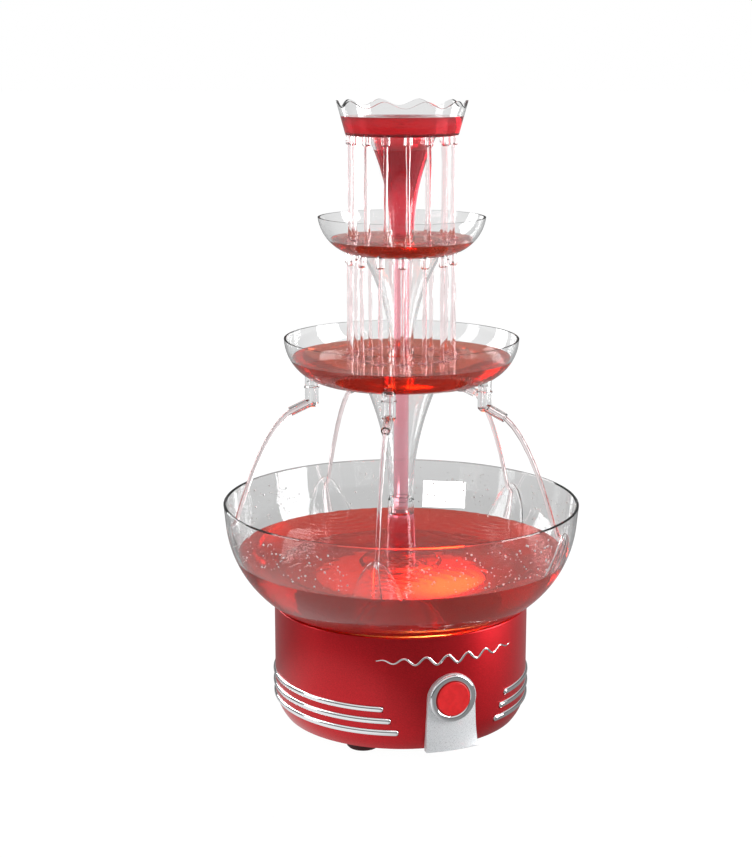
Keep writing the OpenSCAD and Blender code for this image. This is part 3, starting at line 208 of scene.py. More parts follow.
# %% Rubber feet: dark maroon, dull, with fine grit
rubber, tree, shader = material("maroon_rubber", Roughness=0.65, IOR=1.45)
grit = surface(tree, 0.8, detail=4)
tree.links.new(graded(tree, grit.outputs["Fac"], linear("#3A0D10"), linear("#4C1418")),
               shader.inputs["Base Color"])
bumped(tree, shader, grit.outputs["Fac"], 0.05, 0.6)


# %% Plain moulded plastics and metals of the inside
def plain(name, low, high, spacing_mm, depth_mm, roughness, metallic=0.0):
    """A solid finish whose colour and relief vary a little over a real distance."""
    made, tree, shader = material(name, Metallic=metallic, Roughness=roughness)
    lumps = surface(tree, spacing_mm)
    tree.links.new(graded(tree, lumps.outputs["Fac"], linear(low), linear(high)),
                   shader.inputs["Base Color"])
    bumped(tree, shader, lumps.outputs["Fac"], depth_mm, 0.5)
    return made


black_plastic = plain("black_textured_plastic", "#161617", "#222224", 0.7, 0.04, 0.5)
white_plastic = plain("natural_moulded_plastic", "#DEDDD6", "#EDECE6", 5, 0.02, 0.4)
zinc_steel = plain("zinc_plated_steel", "#9DA1A4", "#B4B8BA", 3, 0.01, 0.35, 1.0)
machined_steel = plain("machined_steel", "#B2B5B8", "#C8CBCE", 1.2, 0.01, 0.25, 1.0)
sintered_magnet = plain("sintered_magnet", "#37373A", "#4A4A4E", 0.8, 0.03, 0.5, 0.6)
sintered_bronze = plain("sintered_bronze", "#8C6A38", "#A8824A", 0.6, 0.03, 0.45, 0.9)
wound_copper = plain("wound_copper", "#8A4A26", "#B0683A", 1.2, 0.1, 0.35, 0.8)
circuit_board = plain("coated_circuit_board", "#1E5A30", "#2A6E3C", 6, 0.01, 0.3)
print("solid finishes made:", len(bpy.data.materials))

# %% [markdown]
# ## Clear plastic and drink
# Clear styrene bends light like thick glass. A trace of grey absorption makes an edge, where the
# light crosses much plastic, darker than a wall seen square on, which is what draws the bowls'
# outlines. The drink takes its colour from absorption too, so a thin layer is orange-red and a
# deep one dark red. A little cloudiness in it stands for pulp and air.

# %% Clear plastic
clear_plastic, tree, shader = material("clear_moulded_styrene", Base_Color=linear("#FFFFFF"),
                                       Roughness=0.02, IOR=1.43, Transmission_Weight=1.0)
sink = surface(tree, 26, detail=1)
bumped(tree, shader, sink.outputs["Fac"], 0.12, 0.5)
grey = add(tree, "ShaderNodeVolumeAbsorption", {"Color": (0.45, 0.5, 0.53, 1), "Density": 12.0})
tree.links.new(grey.outputs["Volume"], tree.nodes["Material Output"].inputs["Volume"])

# %% Frosted lens: the lit window under the bowl, with its glow painted on as emission
# The lamps stand under the lens. The lens itself gives off a painted glow in place of their light
# through it: brightest over the one at the front right, it falls off between two distances from it,
# here in metres
GLOW_CENTRE = (0.034, -0.052, 0.114)
GLOW_INNER, GLOW_OUTER = 0.006, 0.068
GLOW_BRIGHT, GLOW_FAINT = 34.0, 0.5
frosted, tree, shader = material("frosted_lens_plastic_with_painted_glow", Base_Color=linear("#FFE2B4"),
                                 Roughness=0.45, IOR=1.49, Transmission_Weight=0.5)
frost = surface(tree, 1.5)
bumped(tree, shader, frost.outputs["Fac"], 0.1, 0.6)
# Painted glow: the lens gives off light of its own, though it is no lamp
shader.inputs["Emission Color"].default_value = linear("#FFC46A")
place = add(tree, "ShaderNodeTexCoord")
away = add(tree, "ShaderNodeVectorMath", {0: place.outputs["Object"], 1: GLOW_CENTRE},
           operation="DISTANCE")
glow = add(tree, "ShaderNodeMapRange", {"Value": away.outputs["Value"], "From Min": GLOW_INNER,
           "From Max": GLOW_OUTER, "To Min": GLOW_BRIGHT, "To Max": GLOW_FAINT},
           interpolation_type="SMOOTHSTEP")
tree.links.new(glow.outputs["Result"], shader.inputs["Emission Strength"])

# %% Lamps
lamp_finish, tree, shader = material("lit_epoxy_lamp", Base_Color=linear("#FFE9B8"), Roughness=0.15,
                                     Emission_Color=linear("#FFD080"), Emission_Strength=4.0)
cloud = surface(tree, 3)
bumped(tree, shader, cloud.outputs["Fac"], 0.05, 0.4)


# %% Drink
WATER_IOR = 1.34


def drink_finish(name, colour, density, tint="#FFFFFF", roughness=0.0, clear=1.0):
    """A liquid. colour is the share of light that it lets by, density how fast it takes the rest,
    and clear is less than 1 where pulp or air clouds it."""
    made, tree, shader = material(name, Base_Color=linear(tint), Roughness=roughness,
                                  IOR=WATER_IOR, Transmission_Weight=clear)
    taken = add(tree, "ShaderNodeVolumeAbsorption", {"Color": (*colour, 1), "Density": density})
    tree.links.new(taken.outputs["Volume"], tree.nodes["Material Output"].inputs["Volume"])
    swirl = surface(tree, 14, detail=2)
    bumped(tree, shader, swirl.outputs["Fac"], 0.5, 0.35)
    return made


punch = drink_finish("red_punch", (0.97, 0.42, 0.0), 52.0, "#FF5C44", 0.0, 0.74)
punch_shallow = drink_finish("red_punch_in_tiers", (0.99, 0.62, 0.15), 52.0, "#FF8C70", 0.0, 0.8)
punch_crown = drink_finish("red_punch_in_crown", (0.97, 0.0, 0.30), 46.0, "#FF6470", 0.0, 0.8)
punch_aerated = drink_finish("pink_punch_with_air", (0.95, 0.25, 0.42), 60.0, "#FFDCE0", 0.10)
stream_finish = drink_finish("falling_punch", (0.97, 0.76, 0.79), 45.0, "#FFF8F8", 0.04)
foam_finish = drink_finish("pink_foam", (0.97, 0.7, 0.74), 40.0, "#FFC4C8", 0.25, 0.55)
drop_finish = drink_finish("drops_of_water", (0.97, 0.9, 0.9), 20.0, "#FFFFFF", 0.1, 0.5)
film_finish = drink_finish("thin_film_of_punch", (0.97, 0.9, 0.9), 30.0)

# %% [markdown]
# ## Finishes for the CAD pieces
# The record names a finish for each CAD node, so one table gives every node its material.

# %% Finish table
FINISHES = {
    "red_housing": lacquer, "red_button": red_plastic, "dark_foot": rubber,
    "black_plastic": black_plastic, "chrome_trim": chrome, "silver_bezel": satin,
    "steel": machined_steel, "motor_steel": zinc_steel, "white_plastic": white_plastic,
    "magnet": sintered_magnet, "bronze": sintered_bronze, "copper_core": wound_copper,
    "board_green": circuit_board, "lamp_clear": lamp_finish, "frosted_lens": frosted,
    "clear_plastic": clear_plastic, "red_drink": punch, "pink_streams": stream_finish,
}
slot_of = {part["node"]: part["material_slot"] for part in frame["record"]["subparts"]}
body_of_node = {node: body for body, nodes in frame["record"]["behaviour"]["bodies"].items()
                for node in nodes}
for name, node in frame["nodes"].items():
    node.data.materials.clear()
    node.data.materials.append(FINISHES[slot_of[name]])
print("CAD nodes finished:", len(slot_of))

# %% [markdown]
# ## Helpers for shapes
# Almost everything on this fountain is turned: it looks the same from all round. So the main tool
# is Spin. An outline of a few points is drawn in the plane of radius and height, rounded where the
# moulding is rounded, and spun round the axis in one full turn whose ends are merged.

# %% Shape helpers
TURN_STEPS = 144
MERGE_WITHIN = 2e-6
MOULDED_SHARP = 30


def arc(centre_r, centre_z, radius, start, end, steps):
    """Outline points on an arc, with angles in degrees above level."""
    return [(centre_r + radius * math.cos(math.radians(start + (end - start) * i / steps)),
             centre_z + radius * math.sin(math.radians(start + (end - start) * i / steps)))
            for i in range(steps + 1)]


def spin_outline(mesh, outline, steps=TURN_STEPS):
    """Turns an outline of (radius, height) in millimetres; it may start and end on the axis."""
    points = [mesh.verts.new((r * MM, 0, z * MM)) for r, z in outline]
    on_axis = outline[0][0] == 0 and outline[-1][0] == 0
    pairs = list(zip(points, points[1:] + ([] if on_axis else points[:1])))
    edges = [mesh.edges.new(pair) for pair in pairs]
    bmesh.ops.spin(mesh, geom=points + edges, cent=(0, 0, 0), axis=(0, 0, 1),
                   angle=math.tau, steps=steps, use_merge=True)
    bmesh.ops.remove_doubles(mesh, verts=mesh.verts, dist=1e-7)
    return mesh


def piece(name, mesh, body, slot, finish, *nodes, sharp=40):
    """Turns a bmesh into a finished piece that rides on a body and stands for some CAD nodes."""
    bmesh.ops.recalc_face_normals(mesh, faces=mesh.faces)
    data = bpy.data.meshes.new(name)
    mesh.to_mesh(data)
    mesh.free()
    made = bpy.data.objects.new(name, data)
    scene.collection.objects.link(made)
    data.shade_smooth()
    data.set_sharp_from_angle(angle=math.radians(sharp))
    data.materials.append(finish)
    if body:
        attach(made, body)
    if nodes:
        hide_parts(*nodes)
    print(f"{name}: {len(data.polygons)} faces")
    return made


def smoothed_copy(name, node, stretch=None):
    """A copy of a CAD node, merged and shaded smooth. It rides on the node's own body, or, with
    stretch, is fixed in place on no body; the bodies and points that stretch names are not read."""
    mesh = bmesh.new()
    mesh.from_mesh(frame["nodes"][node].data)
    bmesh.ops.remove_doubles(mesh, verts=mesh.verts, dist=MERGE_WITHIN)
    data = bpy.data.meshes.new(name)
    mesh.to_mesh(data)
    mesh.free()
    # The imported corner normals belong to the loose triangles, so the merged mesh goes without
    if "custom_normal" in data.attributes:
        data.attributes.remove(data.attributes["custom_normal"])
    made = bpy.data.objects.new(name, data)
    scene.collection.objects.link(made)
    data.shade_smooth()
    data.set_sharp_from_angle(angle=math.radians(MOULDED_SHARP))
    data.materials.append(FINISHES[slot_of[node]])
    if stretch:
        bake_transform(made)
    else:
        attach(made, body_of_node[node])
    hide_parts(node)
    print(f"{name}: {len(data.polygons)} faces")


# %% Curved CAD pieces, merged and smoothed
for node in ("lower_tier", "upper_tier", "crown_cup", "spout_front", "spout_right",
             "spout_rear_right", "spout_rear_left", "spout_left", "base_housing", "front_bezel",
             "button_ring", "power_button", "pump_cover", "foot_front_right", "foot_rear_right",
             "foot_rear_left", "foot_front_left", "bottom_cover", "lower_column", "upper_column",
             "crown_stem", "riser_tube", "main_bowl", "lower_supply_tube", "upper_supply_tube"):
    smoothed_copy(node + "_finished", node)
# The spring is squeezed between the switch plate and the button
smoothed_copy("button_spring_finished", "button_spring",
              stretch=("base", "power_button", (0, -0.1146, 0.062), (0, -0.1304, 0.062)))

# %% [markdown]
# ## The drink
# Each vessel holds its drink as one closed shape that follows the vessel's inside. The drink runs
# a hair into the wall: with a gap, light would bounce off a film of air that isn't there.

# %% Levels and walls of the main bowl
BOWL_FLOOR_Z = 133.0
DRINK_Z = 175.0
BOWL_CENTRE_R, BOWL_CENTRE_Z, BOWL_CURVE_R, BOWL_WALL = 67.23, 216.02, 109.09, 3.2
INTO_WALL = 0.12
# Between floor and wall the bowl has a fillet: points as (distance in from its top, height)
FILLET_TOP_Z = 141
FILLET = ((12.5, BOWL_FLOOR_Z - INTO_WALL), (7.5, 134.1), (3.5, 136.9))
# Rings of points on the level surface, from the wall inwards, for the ripples to lift
LEVEL_R, LEVEL_PITCH, LEVEL_RINGS = 163.6, 2.4, 68


def bowl_inside_r(z):
    """Radius of the main bowl's inner wall at a height."""
    return BOWL_CENTRE_R + math.sqrt((BOWL_CURVE_R - BOWL_WALL) ** 2 - (BOWL_CENTRE_Z - z) ** 2)


# %% Ripples
random.seed(7)
SPOUT_AZIMUTHS = {"spout_front": -30, "spout_right": 42, "spout_rear_right": 114,
                  "spout_rear_left": 186, "spout_left": 258}
LANDING_R = 160.0


def ripple(mesh, level_z, sources, wave_mm, height_mm, fade_mm):
    """Lifts a level surface in rings that spread from the points where streams fall in."""
    for vert in mesh.verts:
        if abs(vert.co.z - level_z * MM) > 0.01 * MM:
            continue
        lift = 0
        for source in sources:
            far = math.hypot(vert.co.x / MM - source[0], vert.co.y / MM - source[1])
            lift += math.cos(math.tau * far / wave_mm) * math.exp(-far / fade_mm)
        vert.co.z += lift * height_mm * MM


# %% Drink in the main bowl
wall_heights = [FILLET_TOP_Z + (DRINK_Z - FILLET_TOP_Z) * i / 10 for i in range(11)]
fillet_r = bowl_inside_r(FILLET_TOP_Z)
outline = ([(0, BOWL_FLOOR_Z - INTO_WALL)]
           + [(fillet_r - inwards, z) for inwards, z in FILLET]
           + [(bowl_inside_r(z) + INTO_WALL, z) for z in wall_heights]
           + [(LEVEL_R - LEVEL_PITCH * i, DRINK_Z) for i in range(LEVEL_RINGS)] + [(0, DRINK_Z)])
mesh = spin_outline(bmesh.new(), outline, 240)
sources = [around(a, LANDING_R, 0) for a in SPOUT_AZIMUTHS.values()]
ripple(mesh, DRINK_Z, sources, 13, 0.42, 60)
piece("punch_in_main_bowl", mesh, "main_bowl", "red_drink", punch, "drink_in_bowl", sharp=60)

# %% Drink in the two tiers
LOWER_Z, LOWER_DRINK_Z, LOWER_CENTRE_R, LOWER_CURVE_R = 348.6, 373.0, 70.94, 44.9
UPPER_Z, UPPER_DRINK_Z, UPPER_CENTRE_R, UPPER_CURVE_R = 473.5, 489.0, 39.87, 42.3
TIER_WALL = 2.2
HUB_R = 13.1
RING_PITCH = 1.6


def tier_drink(name, node, floor_z, level_z, centre_r, curve_r, body, sources):
    """Drink that follows a tier's dished inside, round the socket in its middle."""
    inner_r = curve_r - TIER_WALL + INTO_WALL
    middle_z = floor_z + curve_r
    top = -math.degrees(math.asin((middle_z - level_z) / inner_r))
    side = arc(centre_r, middle_z, inner_r, -90, top, 16)
    edge_r = side[-1][0]
    count = int((edge_r - HUB_R) / RING_PITCH)
    level = [(edge_r - (edge_r - HUB_R) * i / count, level_z) for i in range(1, count)]
    low = floor_z + TIER_WALL - INTO_WALL
    mesh = spin_outline(bmesh.new(), [(HUB_R - INTO_WALL, low)] + side + level
                        + [(HUB_R - INTO_WALL, level_z)], 192)
    ripple(mesh, level_z, sources, 6, 0.28, 9)
    piece(name, mesh, body, "red_drink", punch_shallow, node, sharp=60)


NOZZLE_COUNT = 15
UPPER_NOZZLES = [around(-21.4 + 24 * i, 52, 0) for i in range(NOZZLE_COUNT)]
CROWN_NOZZLES = [around(-16 + 24 * i, 50.5, 0) for i in range(NOZZLE_COUNT)]
tier_drink("punch_in_lower_tier", "drink_in_lower_tier", LOWER_Z, LOWER_DRINK_Z,
           LOWER_CENTRE_R, LOWER_CURVE_R, "lower_tower", UPPER_NOZZLES)
tier_drink("punch_in_upper_tier", "drink_in_upper_tier", UPPER_Z, UPPER_DRINK_Z,
           UPPER_CENTRE_R, UPPER_CURVE_R, "upper_tower", CROWN_NOZZLES)

# %% Drink in the crown and down its stem
CROWN_Z, CROWN_DRINK_Z = 588.3, 607.0
STEM_Z, STEM_NECK_R, STEM_MOUTH_R, FLARE, COLUMN_WALL = 492.0, 11.9, 33.5, 2.1, 2.2
FOOT_BORE_R, FOOT_Z, FOOT_TOP_Z = 9.0, 480, 492.5
CROWN_RING_R, CROWN_RING_Z = 27.86, 585.3
CROWN_FLOOR_R, CROWN_WALL_R = 51.8, 52.8
CROWN_LEAN = (63.6 - 55) / 33.2
CROWN_LEVEL_R, CROWN_RINGS = 55.5, 34


def flare_r(z, foot_z, top_z, neck_r, mouth_r):
    """Outside radius of a trumpet column at a height."""
    return neck_r + (mouth_r - neck_r) * ((z - foot_z) / (top_z - foot_z)) ** FLARE


stem = [(flare_r(STEM_Z + (CROWN_Z - STEM_Z) * i / 14, STEM_Z, CROWN_Z, STEM_NECK_R, STEM_MOUTH_R)
         - COLUMN_WALL + INTO_WALL, STEM_Z + (CROWN_Z - STEM_Z) * i / 14) for i in range(1, 13)]
crown_floor_z = CROWN_Z + TIER_WALL - INTO_WALL
outline = ([(0, FOOT_Z), (FOOT_BORE_R + INTO_WALL, FOOT_Z), (FOOT_BORE_R + INTO_WALL, FOOT_TOP_Z)]
           + stem
           + [(CROWN_RING_R + INTO_WALL, CROWN_RING_Z), (CROWN_RING_R + INTO_WALL, crown_floor_z),
              (CROWN_FLOOR_R, crown_floor_z),
              (CROWN_WALL_R + CROWN_LEAN * (TIER_WALL + 1) + INTO_WALL, CROWN_Z + TIER_WALL + 1),
              (CROWN_WALL_R + CROWN_LEAN * (CROWN_DRINK_Z - CROWN_Z) + INTO_WALL, CROWN_DRINK_Z)]
           + [(CROWN_LEVEL_R - RING_PITCH * i, CROWN_DRINK_Z) for i in range(CROWN_RINGS)]
           + [(0, CROWN_DRINK_Z)])
mesh = spin_outline(bmesh.new(), outline)
ripple(mesh, CROWN_DRINK_Z, [Vector((0, 0, 0))], 11, 0.5, 26)
piece("punch_in_crown", mesh, "crown", "red_drink", punch_crown, "drink_in_crown", sharp=60)

# %% Drink in the riser and the supply tubes
RISER_BORE_R, TUBE_BORE_R = 12.3, 6.0


def rod_of_drink(name, radius, low, high, body):
    """A plain column of drink inside a tube."""
    outline = [(0, low), (radius, low), (radius, (low + high) / 2), (radius, high), (0, high)]
    piece(name, spin_outline(bmesh.new(), outline), body, "red_drink", punch_aerated)


rod_of_drink("punch_in_riser", RISER_BORE_R + INTO_WALL, 159.2, 213, "riser")
rod_of_drink("punch_in_lower_tube", TUBE_BORE_R + INTO_WALL, 215.1, 350.5, "lower_tower")
rod_of_drink("punch_in_upper_tube", TUBE_BORE_R + INTO_WALL, 365.1, 475.4, "upper_tower")

# %% [markdown]
# ## Falling streams
# Fifteen straight streams fall from the crown to the upper tier and fifteen more to the lower one.
# Each is a slim rod that necks and swells a little on its way down, as a real stream does.

# %% Straight streams
def straight_streams(name, node, places, top_z, low_z, radius):
    """A ring of thin streams between a ring of nozzles and the drink below it. Each one spreads a
    little where it enters the drink."""
    mesh = bmesh.new()
    rings = 26
    for place in places:
        phase = random.uniform(0, math.tau)
        one = bmesh.new()
        waist = [radius * (0.86 + 0.10 * math.sin(phase + 5.2 * i / rings)
                           + 0.08 * math.sin(2 * phase + 21 * i / rings))
                 for i in range(rings + 1)]
        outline = [(0, top_z)] + [(waist[i] * (1.0 if i < rings - 1 else 1.5),
                                   top_z + (low_z - top_z) * i / rings)
                                  for i in range(rings + 1)] + [(0, low_z)]
        spin_outline(one, outline, 12)
        bmesh.ops.translate(one, verts=one.verts, vec=place * MM)
        data = bpy.data.meshes.new("stream")
        one.to_mesh(data)
        one.free()
        mesh.from_mesh(data)
        bpy.data.meshes.remove(data)
    made = piece(name, mesh, None, "pink_streams", stream_finish, node, sharp=70)
    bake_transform(made)


CROWN_NOZZLE_Z, UPPER_NOZZLE_Z, DIP = 589.8, 475.0, 0.6
straight_streams("punch_falling_from_crown", "streams_from_crown", CROWN_NOZZLES, CROWN_NOZZLE_Z,
                 UPPER_DRINK_Z - DIP, 2.2)
straight_streams("punch_falling_from_upper_tier", "streams_from_upper_tier", UPPER_NOZZLES,
                 UPPER_NOZZLE_Z, LOWER_DRINK_Z - DIP, 2.3)

# %% [markdown]
# ## Streams from the spouts
# A stream leaves the sloping arm, bends down under its own weight, meets the bowl's wall and runs
# down it. Its centre line is a parabola. A small ring is extruded from point to point along that
# line, and each ring is turned square to it. The same tool makes the chrome strips and the wave.

# %% A ring swept along a line
def swept(line, sides=12):
    """Closed tube along (point, half across, half out, across) in millimetres, as a bmesh."""
    mesh = bmesh.new()
    ring = bmesh.ops.create_circle(mesh, cap_ends=False, radius=1, segments=sides)["verts"]
    edges = list({edge for vert in ring for edge in vert.link_edges})
    rings = [ring]
    for _ in line[1:]:
        grown = bmesh.ops.extrude_edge_only(mesh, edges=edges)["geom"]
        ring = [part for part in grown if isinstance(part, bmesh.types.BMVert)]
        edges = [part for part in grown if isinstance(part, bmesh.types.BMEdge)
                 and all(vert in ring for vert in part.verts)]
        rings.append(ring)
    # Every ring still lies on the first one, so its points are known by their place on it
    for i, (point, half_across, half_out, across) in enumerate(line):
        ahead = line[min(i + 1, len(line) - 1)][0] - line[max(i - 1, 0)][0]
        out = ahead.normalized().cross(across).normalized()
        for vert in rings[i]:
            x, y = vert.co.x, vert.co.y
            vert.co = (point + across * x * half_across + out * y * half_out) * MM
    for end in (rings[0], rings[-1]):
        bmesh.ops.contextual_create(mesh, geom=end)
    return mesh


# %% Spout streams
ARM_END_R, ARM_END_Z, ARM_SLOPE = 110.2, 321.2, 24.5
FALL = 0.0246
STREAM_REACH = 59.0
IN_ARM_R = 2.35
IN_ARM_PLACES = (93, 96, 100, 104)
ARC_STEPS, WALL_STEPS = 24, 8


def stream_line():
    """The stream of a spout that points to +X: down in an arc, then down the bowl's wall."""
    across = Vector((0, 1, 0))
    slope = math.tan(math.radians(ARM_SLOPE))
    line = [(Vector((r, 0, ARM_END_Z + (ARM_END_R - r) * slope)), IN_ARM_R, IN_ARM_R, across)
            for r in IN_ARM_PLACES]
    for i in range(ARC_STEPS + 1):
        run = STREAM_REACH * i / ARC_STEPS
        drop = slope * run + FALL * run * run
        half = 2.5 - 0.5 * i / ARC_STEPS + 0.12 * math.sin(1.9 * i)
        line.append((Vector((ARM_END_R - 3 + run, 0, ARM_END_Z + 1.4 - drop)), half, half, across))
    start_z = line[-1][0].z
    for i in range(1, WALL_STEPS + 1):
        z = start_z + (DRINK_Z - 1.5 - start_z) * i / WALL_STEPS
        line.append((Vector((bowl_inside_r(z) - 1.2, 0, z)), 2.2 + 2.6 * i / WALL_STEPS, 1.0,
                     across))
    return line


def facing(mesh, azimuth):
    """Turns what points to +X so that it points to an azimuth."""
    bmesh.ops.rotate(mesh, verts=mesh.verts, cent=(0, 0, 0),
                     matrix=Matrix.Rotation(math.radians(azimuth - 90), 3, "Z"))
    return mesh


for spout, azimuth in SPOUT_AZIMUTHS.items():
    piece("stream_from_" + spout, facing(swept(stream_line()), azimuth), spout, "pink_streams",
          stream_finish, sharp=60)

# %% [markdown]
# ## Water on the wall
# Where a stream hits the wall it fans out into a thin film with a thick rim, shaped like an
# upturned U that widens down to the drink. A grid is laid on the wall in that shape and extruded
# inwards, thin in the middle and thick along its edge. Fine drops stick to the dry wall above.

# %% Films under the streams
FILM_TOP_Z = 213.0
FILM_HALF_W = 25.0
FILM_THICK, RIM_THICK = 0.45, 1.1


def film():
    """A film on the wall at +X."""
    mesh = bmesh.new()
    bmesh.ops.create_grid(mesh, x_segments=28, y_segments=20, size=1)
    places = {}

    def settle(vert, thickness):
        across, down = places[vert]
        z = FILM_TOP_Z + (DRINK_Z - 2 - FILM_TOP_Z) * down
        r = bowl_inside_r(z) + 0.1 - thickness
        turn = across * FILM_HALF_W * math.sqrt(max(down, 0.012)) / r
        vert.co = Vector((r * math.cos(turn), r * math.sin(turn), z)) * MM

    for vert in mesh.verts:
        places[vert] = (vert.co.x, (1 - vert.co.y) / 2)
    below = {tuple(round(c, 5) for c in vert.co): vert for vert in mesh.verts}
    grown = bmesh.ops.extrude_face_region(mesh, geom=mesh.faces[:])["geom"]
    above = [part for part in grown if isinstance(part, bmesh.types.BMVert)]
    for vert in above:
        places[vert] = places[below[tuple(round(c, 5) for c in vert.co)]]
    for vert in places:
        if vert in above:
            across, down = places[vert]
            rim = math.exp(-((1 - abs(across)) / 0.10) ** 2) + math.exp(-(down / 0.06) ** 2)
            wave = 0.10 * math.sin(9 * across + 14 * down)
            settle(vert, FILM_THICK + wave + RIM_THICK * min(rim, 1))
        else:
            settle(vert, 0)
    return mesh


for spout, azimuth in SPOUT_AZIMUTHS.items():
    piece("film_under_" + spout, facing(film(), azimuth), "main_bowl", "pink_streams",
          film_finish, sharp=60)


# %% Small round shapes in quantity
def beads(name, places, body, finish):
    """Many little balls, each at (point, radius, squash) in millimetres, as one piece."""
    mesh = bmesh.new()
    for point, radius, squash in places:
        bmesh.ops.create_icosphere(mesh, subdivisions=2, radius=radius * MM,
                                   matrix=Matrix.Translation(point * MM)
                                   @ Matrix.Diagonal((1, 1, squash, 1)))
    piece(name, mesh, body, "pink_streams", finish, sharp=180)


# %% Drops on the main bowl's wall
DROP_COUNT, DROPS_TOP_Z = 700, 219
# Above this height the wall is nearly straight and leans out a little
STRAIGHT_Z, STRAIGHT_LEAN = 204, 0.1
FILM_HALF_TURN = 9
drops = []
while len(drops) < DROP_COUNT:
    z = random.uniform(DRINK_Z + 6, DROPS_TOP_Z)
    azimuth = random.uniform(0, 360)
    if any(abs((azimuth - a + 180) % 360 - 180) < FILM_HALF_TURN
           for a in SPOUT_AZIMUTHS.values()):
        continue
    size = random.choice((0.3, 0.45, 0.6, 0.75, 1.1))
    wall_r = bowl_inside_r(min(z, STRAIGHT_Z)) + max(z - STRAIGHT_Z, 0) * STRAIGHT_LEAN
    drops.append((around(azimuth, wall_r - 0.1, z), size, 1))
beads("drops_on_wall", drops, "main_bowl", drop_finish)

# %% Bubbles where the streams fall in
BUBBLE_Z, BUBBLE_SQUASH = DRINK_Z - 0.2, 0.6
bubbles = []
for azimuth in SPOUT_AZIMUTHS.values():
    for _ in range(11):
        place = around(azimuth + random.gauss(0, 9), 157 + random.gauss(0, 6), BUBBLE_Z)
        bubbles.append((place, random.choice((0.6, 0.8, 1.1, 1.5)), BUBBLE_SQUASH))
for _ in range(10):
    place = around(random.uniform(-60, 40), random.uniform(60, 150), BUBBLE_Z)
    bubbles.append((place, random.choice((0.5, 0.7, 1.0)), BUBBLE_SQUASH))
# A bubble that would lie in the wall is left out
BUBBLE_LIMIT_R = 163
bubbles = [b for b in bubbles if b[0].xy.length < BUBBLE_LIMIT_R]
beads("bubbles_in_main_bowl", bubbles, "main_bowl", stream_finish)


FROTH_COUNT, FROTH_SPREAD = 18, 4.2


def froth(name, places, level_z, body):
    """Little bubbles round the foot of each straight stream."""
    found = []
    for place in places:
        for _ in range(FROTH_COUNT):
            shift = Vector((random.gauss(0, FROTH_SPREAD), random.gauss(0, FROTH_SPREAD), level_z))
            found.append((place + shift, random.choice((0.5, 0.7, 1.0, 1.3)), 0.7))
    beads(name, found, body, foam_finish)


froth("froth_in_lower_tier", UPPER_NOZZLES, LOWER_DRINK_Z, "lower_tower")
froth("froth_in_upper_tier", CROWN_NOZZLES, UPPER_DRINK_Z, "upper_tower")

# %% [markdown]
# ## Chrome strips
# Three strips run round each side of the housing. Each is a half-round bar in a groove, with ends
# rounded like a pill, so the swept ring grows from nothing to full height over its own half width.

# %% Chrome strips
HOUSING_R = 128.0
SIDE_Z, SIDE_CENTRE_R, SIDE_CURVE_R = 35.0, 85.944, 42.056
STRIP_Z, STRIP_PITCH, STRIP_HALF, STRIP_PROUD = 28.8, 11.8, 3.0, 2.0
STRIP_FRONT, STRIP_STEP, STRIP_REAR = 23.2, 3.3, 152.0


def housing_r(z):
    """Radius of the housing's outside at a height: straight above, tucked in towards the feet."""
    if z >= SIDE_Z:
        return HOUSING_R
    return SIDE_CENTRE_R + math.sqrt(SIDE_CURVE_R ** 2 - (SIDE_Z - z) ** 2)


def strip_line(row, side):
    """Centre line of a strip, whose height and thickness shrink at its rounded ends."""
    z = STRIP_Z + STRIP_PITCH * row
    r = housing_r(z)
    length = math.radians(STRIP_REAR - STRIP_FRONT - STRIP_STEP * row) * r
    bend = [(STRIP_HALF * (1 - math.cos(math.radians(a))), math.sin(math.radians(a)))
            for a in (2, 15, 30, 45, 60, 75, 90)]
    middle = [(bend[-1][0] + (length - 2 * bend[-1][0]) * i / 96, 1) for i in range(1, 96)]
    stations = bend + middle + [(length - along, share) for along, share in reversed(bend)]
    line = []
    for along, share in stations:
        azimuth = side * (STRIP_FRONT + STRIP_STEP * row + math.degrees(along / r))
        line.append((around(azimuth, r, z), STRIP_HALF * share, STRIP_PROUD * share,
                     Vector((0, 0, 1))))
    return line


for side, hand in ((1, "right"), (-1, "left")):
    for row, level in enumerate(("lower", "middle", "upper")):
        node = f"trim_{hand}_{level}"
        piece(node + "_finished", swept(strip_line(row, side), 20), "base", "chrome_trim", chrome,
              node, sharp=60)

# %% [markdown]
# ## Chrome wave
# A thin bright wave runs across the housing above the panel: half-round wire, bent round the
# housing and thinning out to both ends.

# %% Chrome wave
WAVE_Z, WAVE_HEIGHT, WAVE_COUNT, WAVE_SPAN = 101.0, 4.2, 7, (-33.0, 34.0)
WAVE_STEPS, WAVE_PROUD = 210, 0.9
wave_line = []
for i in range(WAVE_STEPS + 1):
    share = i / WAVE_STEPS
    azimuth = WAVE_SPAN[0] + (WAVE_SPAN[1] - WAVE_SPAN[0]) * share
    swell = math.sin(math.pi * share) ** 0.6
    height = WAVE_Z + WAVE_HEIGHT * swell * math.sin(math.tau * WAVE_COUNT * share)
    wave_line.append((azimuth, height, 0.4 + 0.95 * swell))
line = []
for i, (azimuth, height, half) in enumerate(wave_line):
    point = around(azimuth, HOUSING_R + 0.1, height)
    before = wave_line[max(i - 1, 0)]
    after = wave_line[min(i + 1, WAVE_STEPS)]
    ahead = around(after[0], HOUSING_R, after[1]) - around(before[0], HOUSING_R, before[1])
    outwards = around(azimuth, 1, 0)
    across = outwards.cross(ahead.normalized()).normalized()
    line.append((point, half, half * WAVE_PROUD, across))
piece("chrome_wave", swept(line, 10), "base", "chrome_trim", chrome, sharp=60)
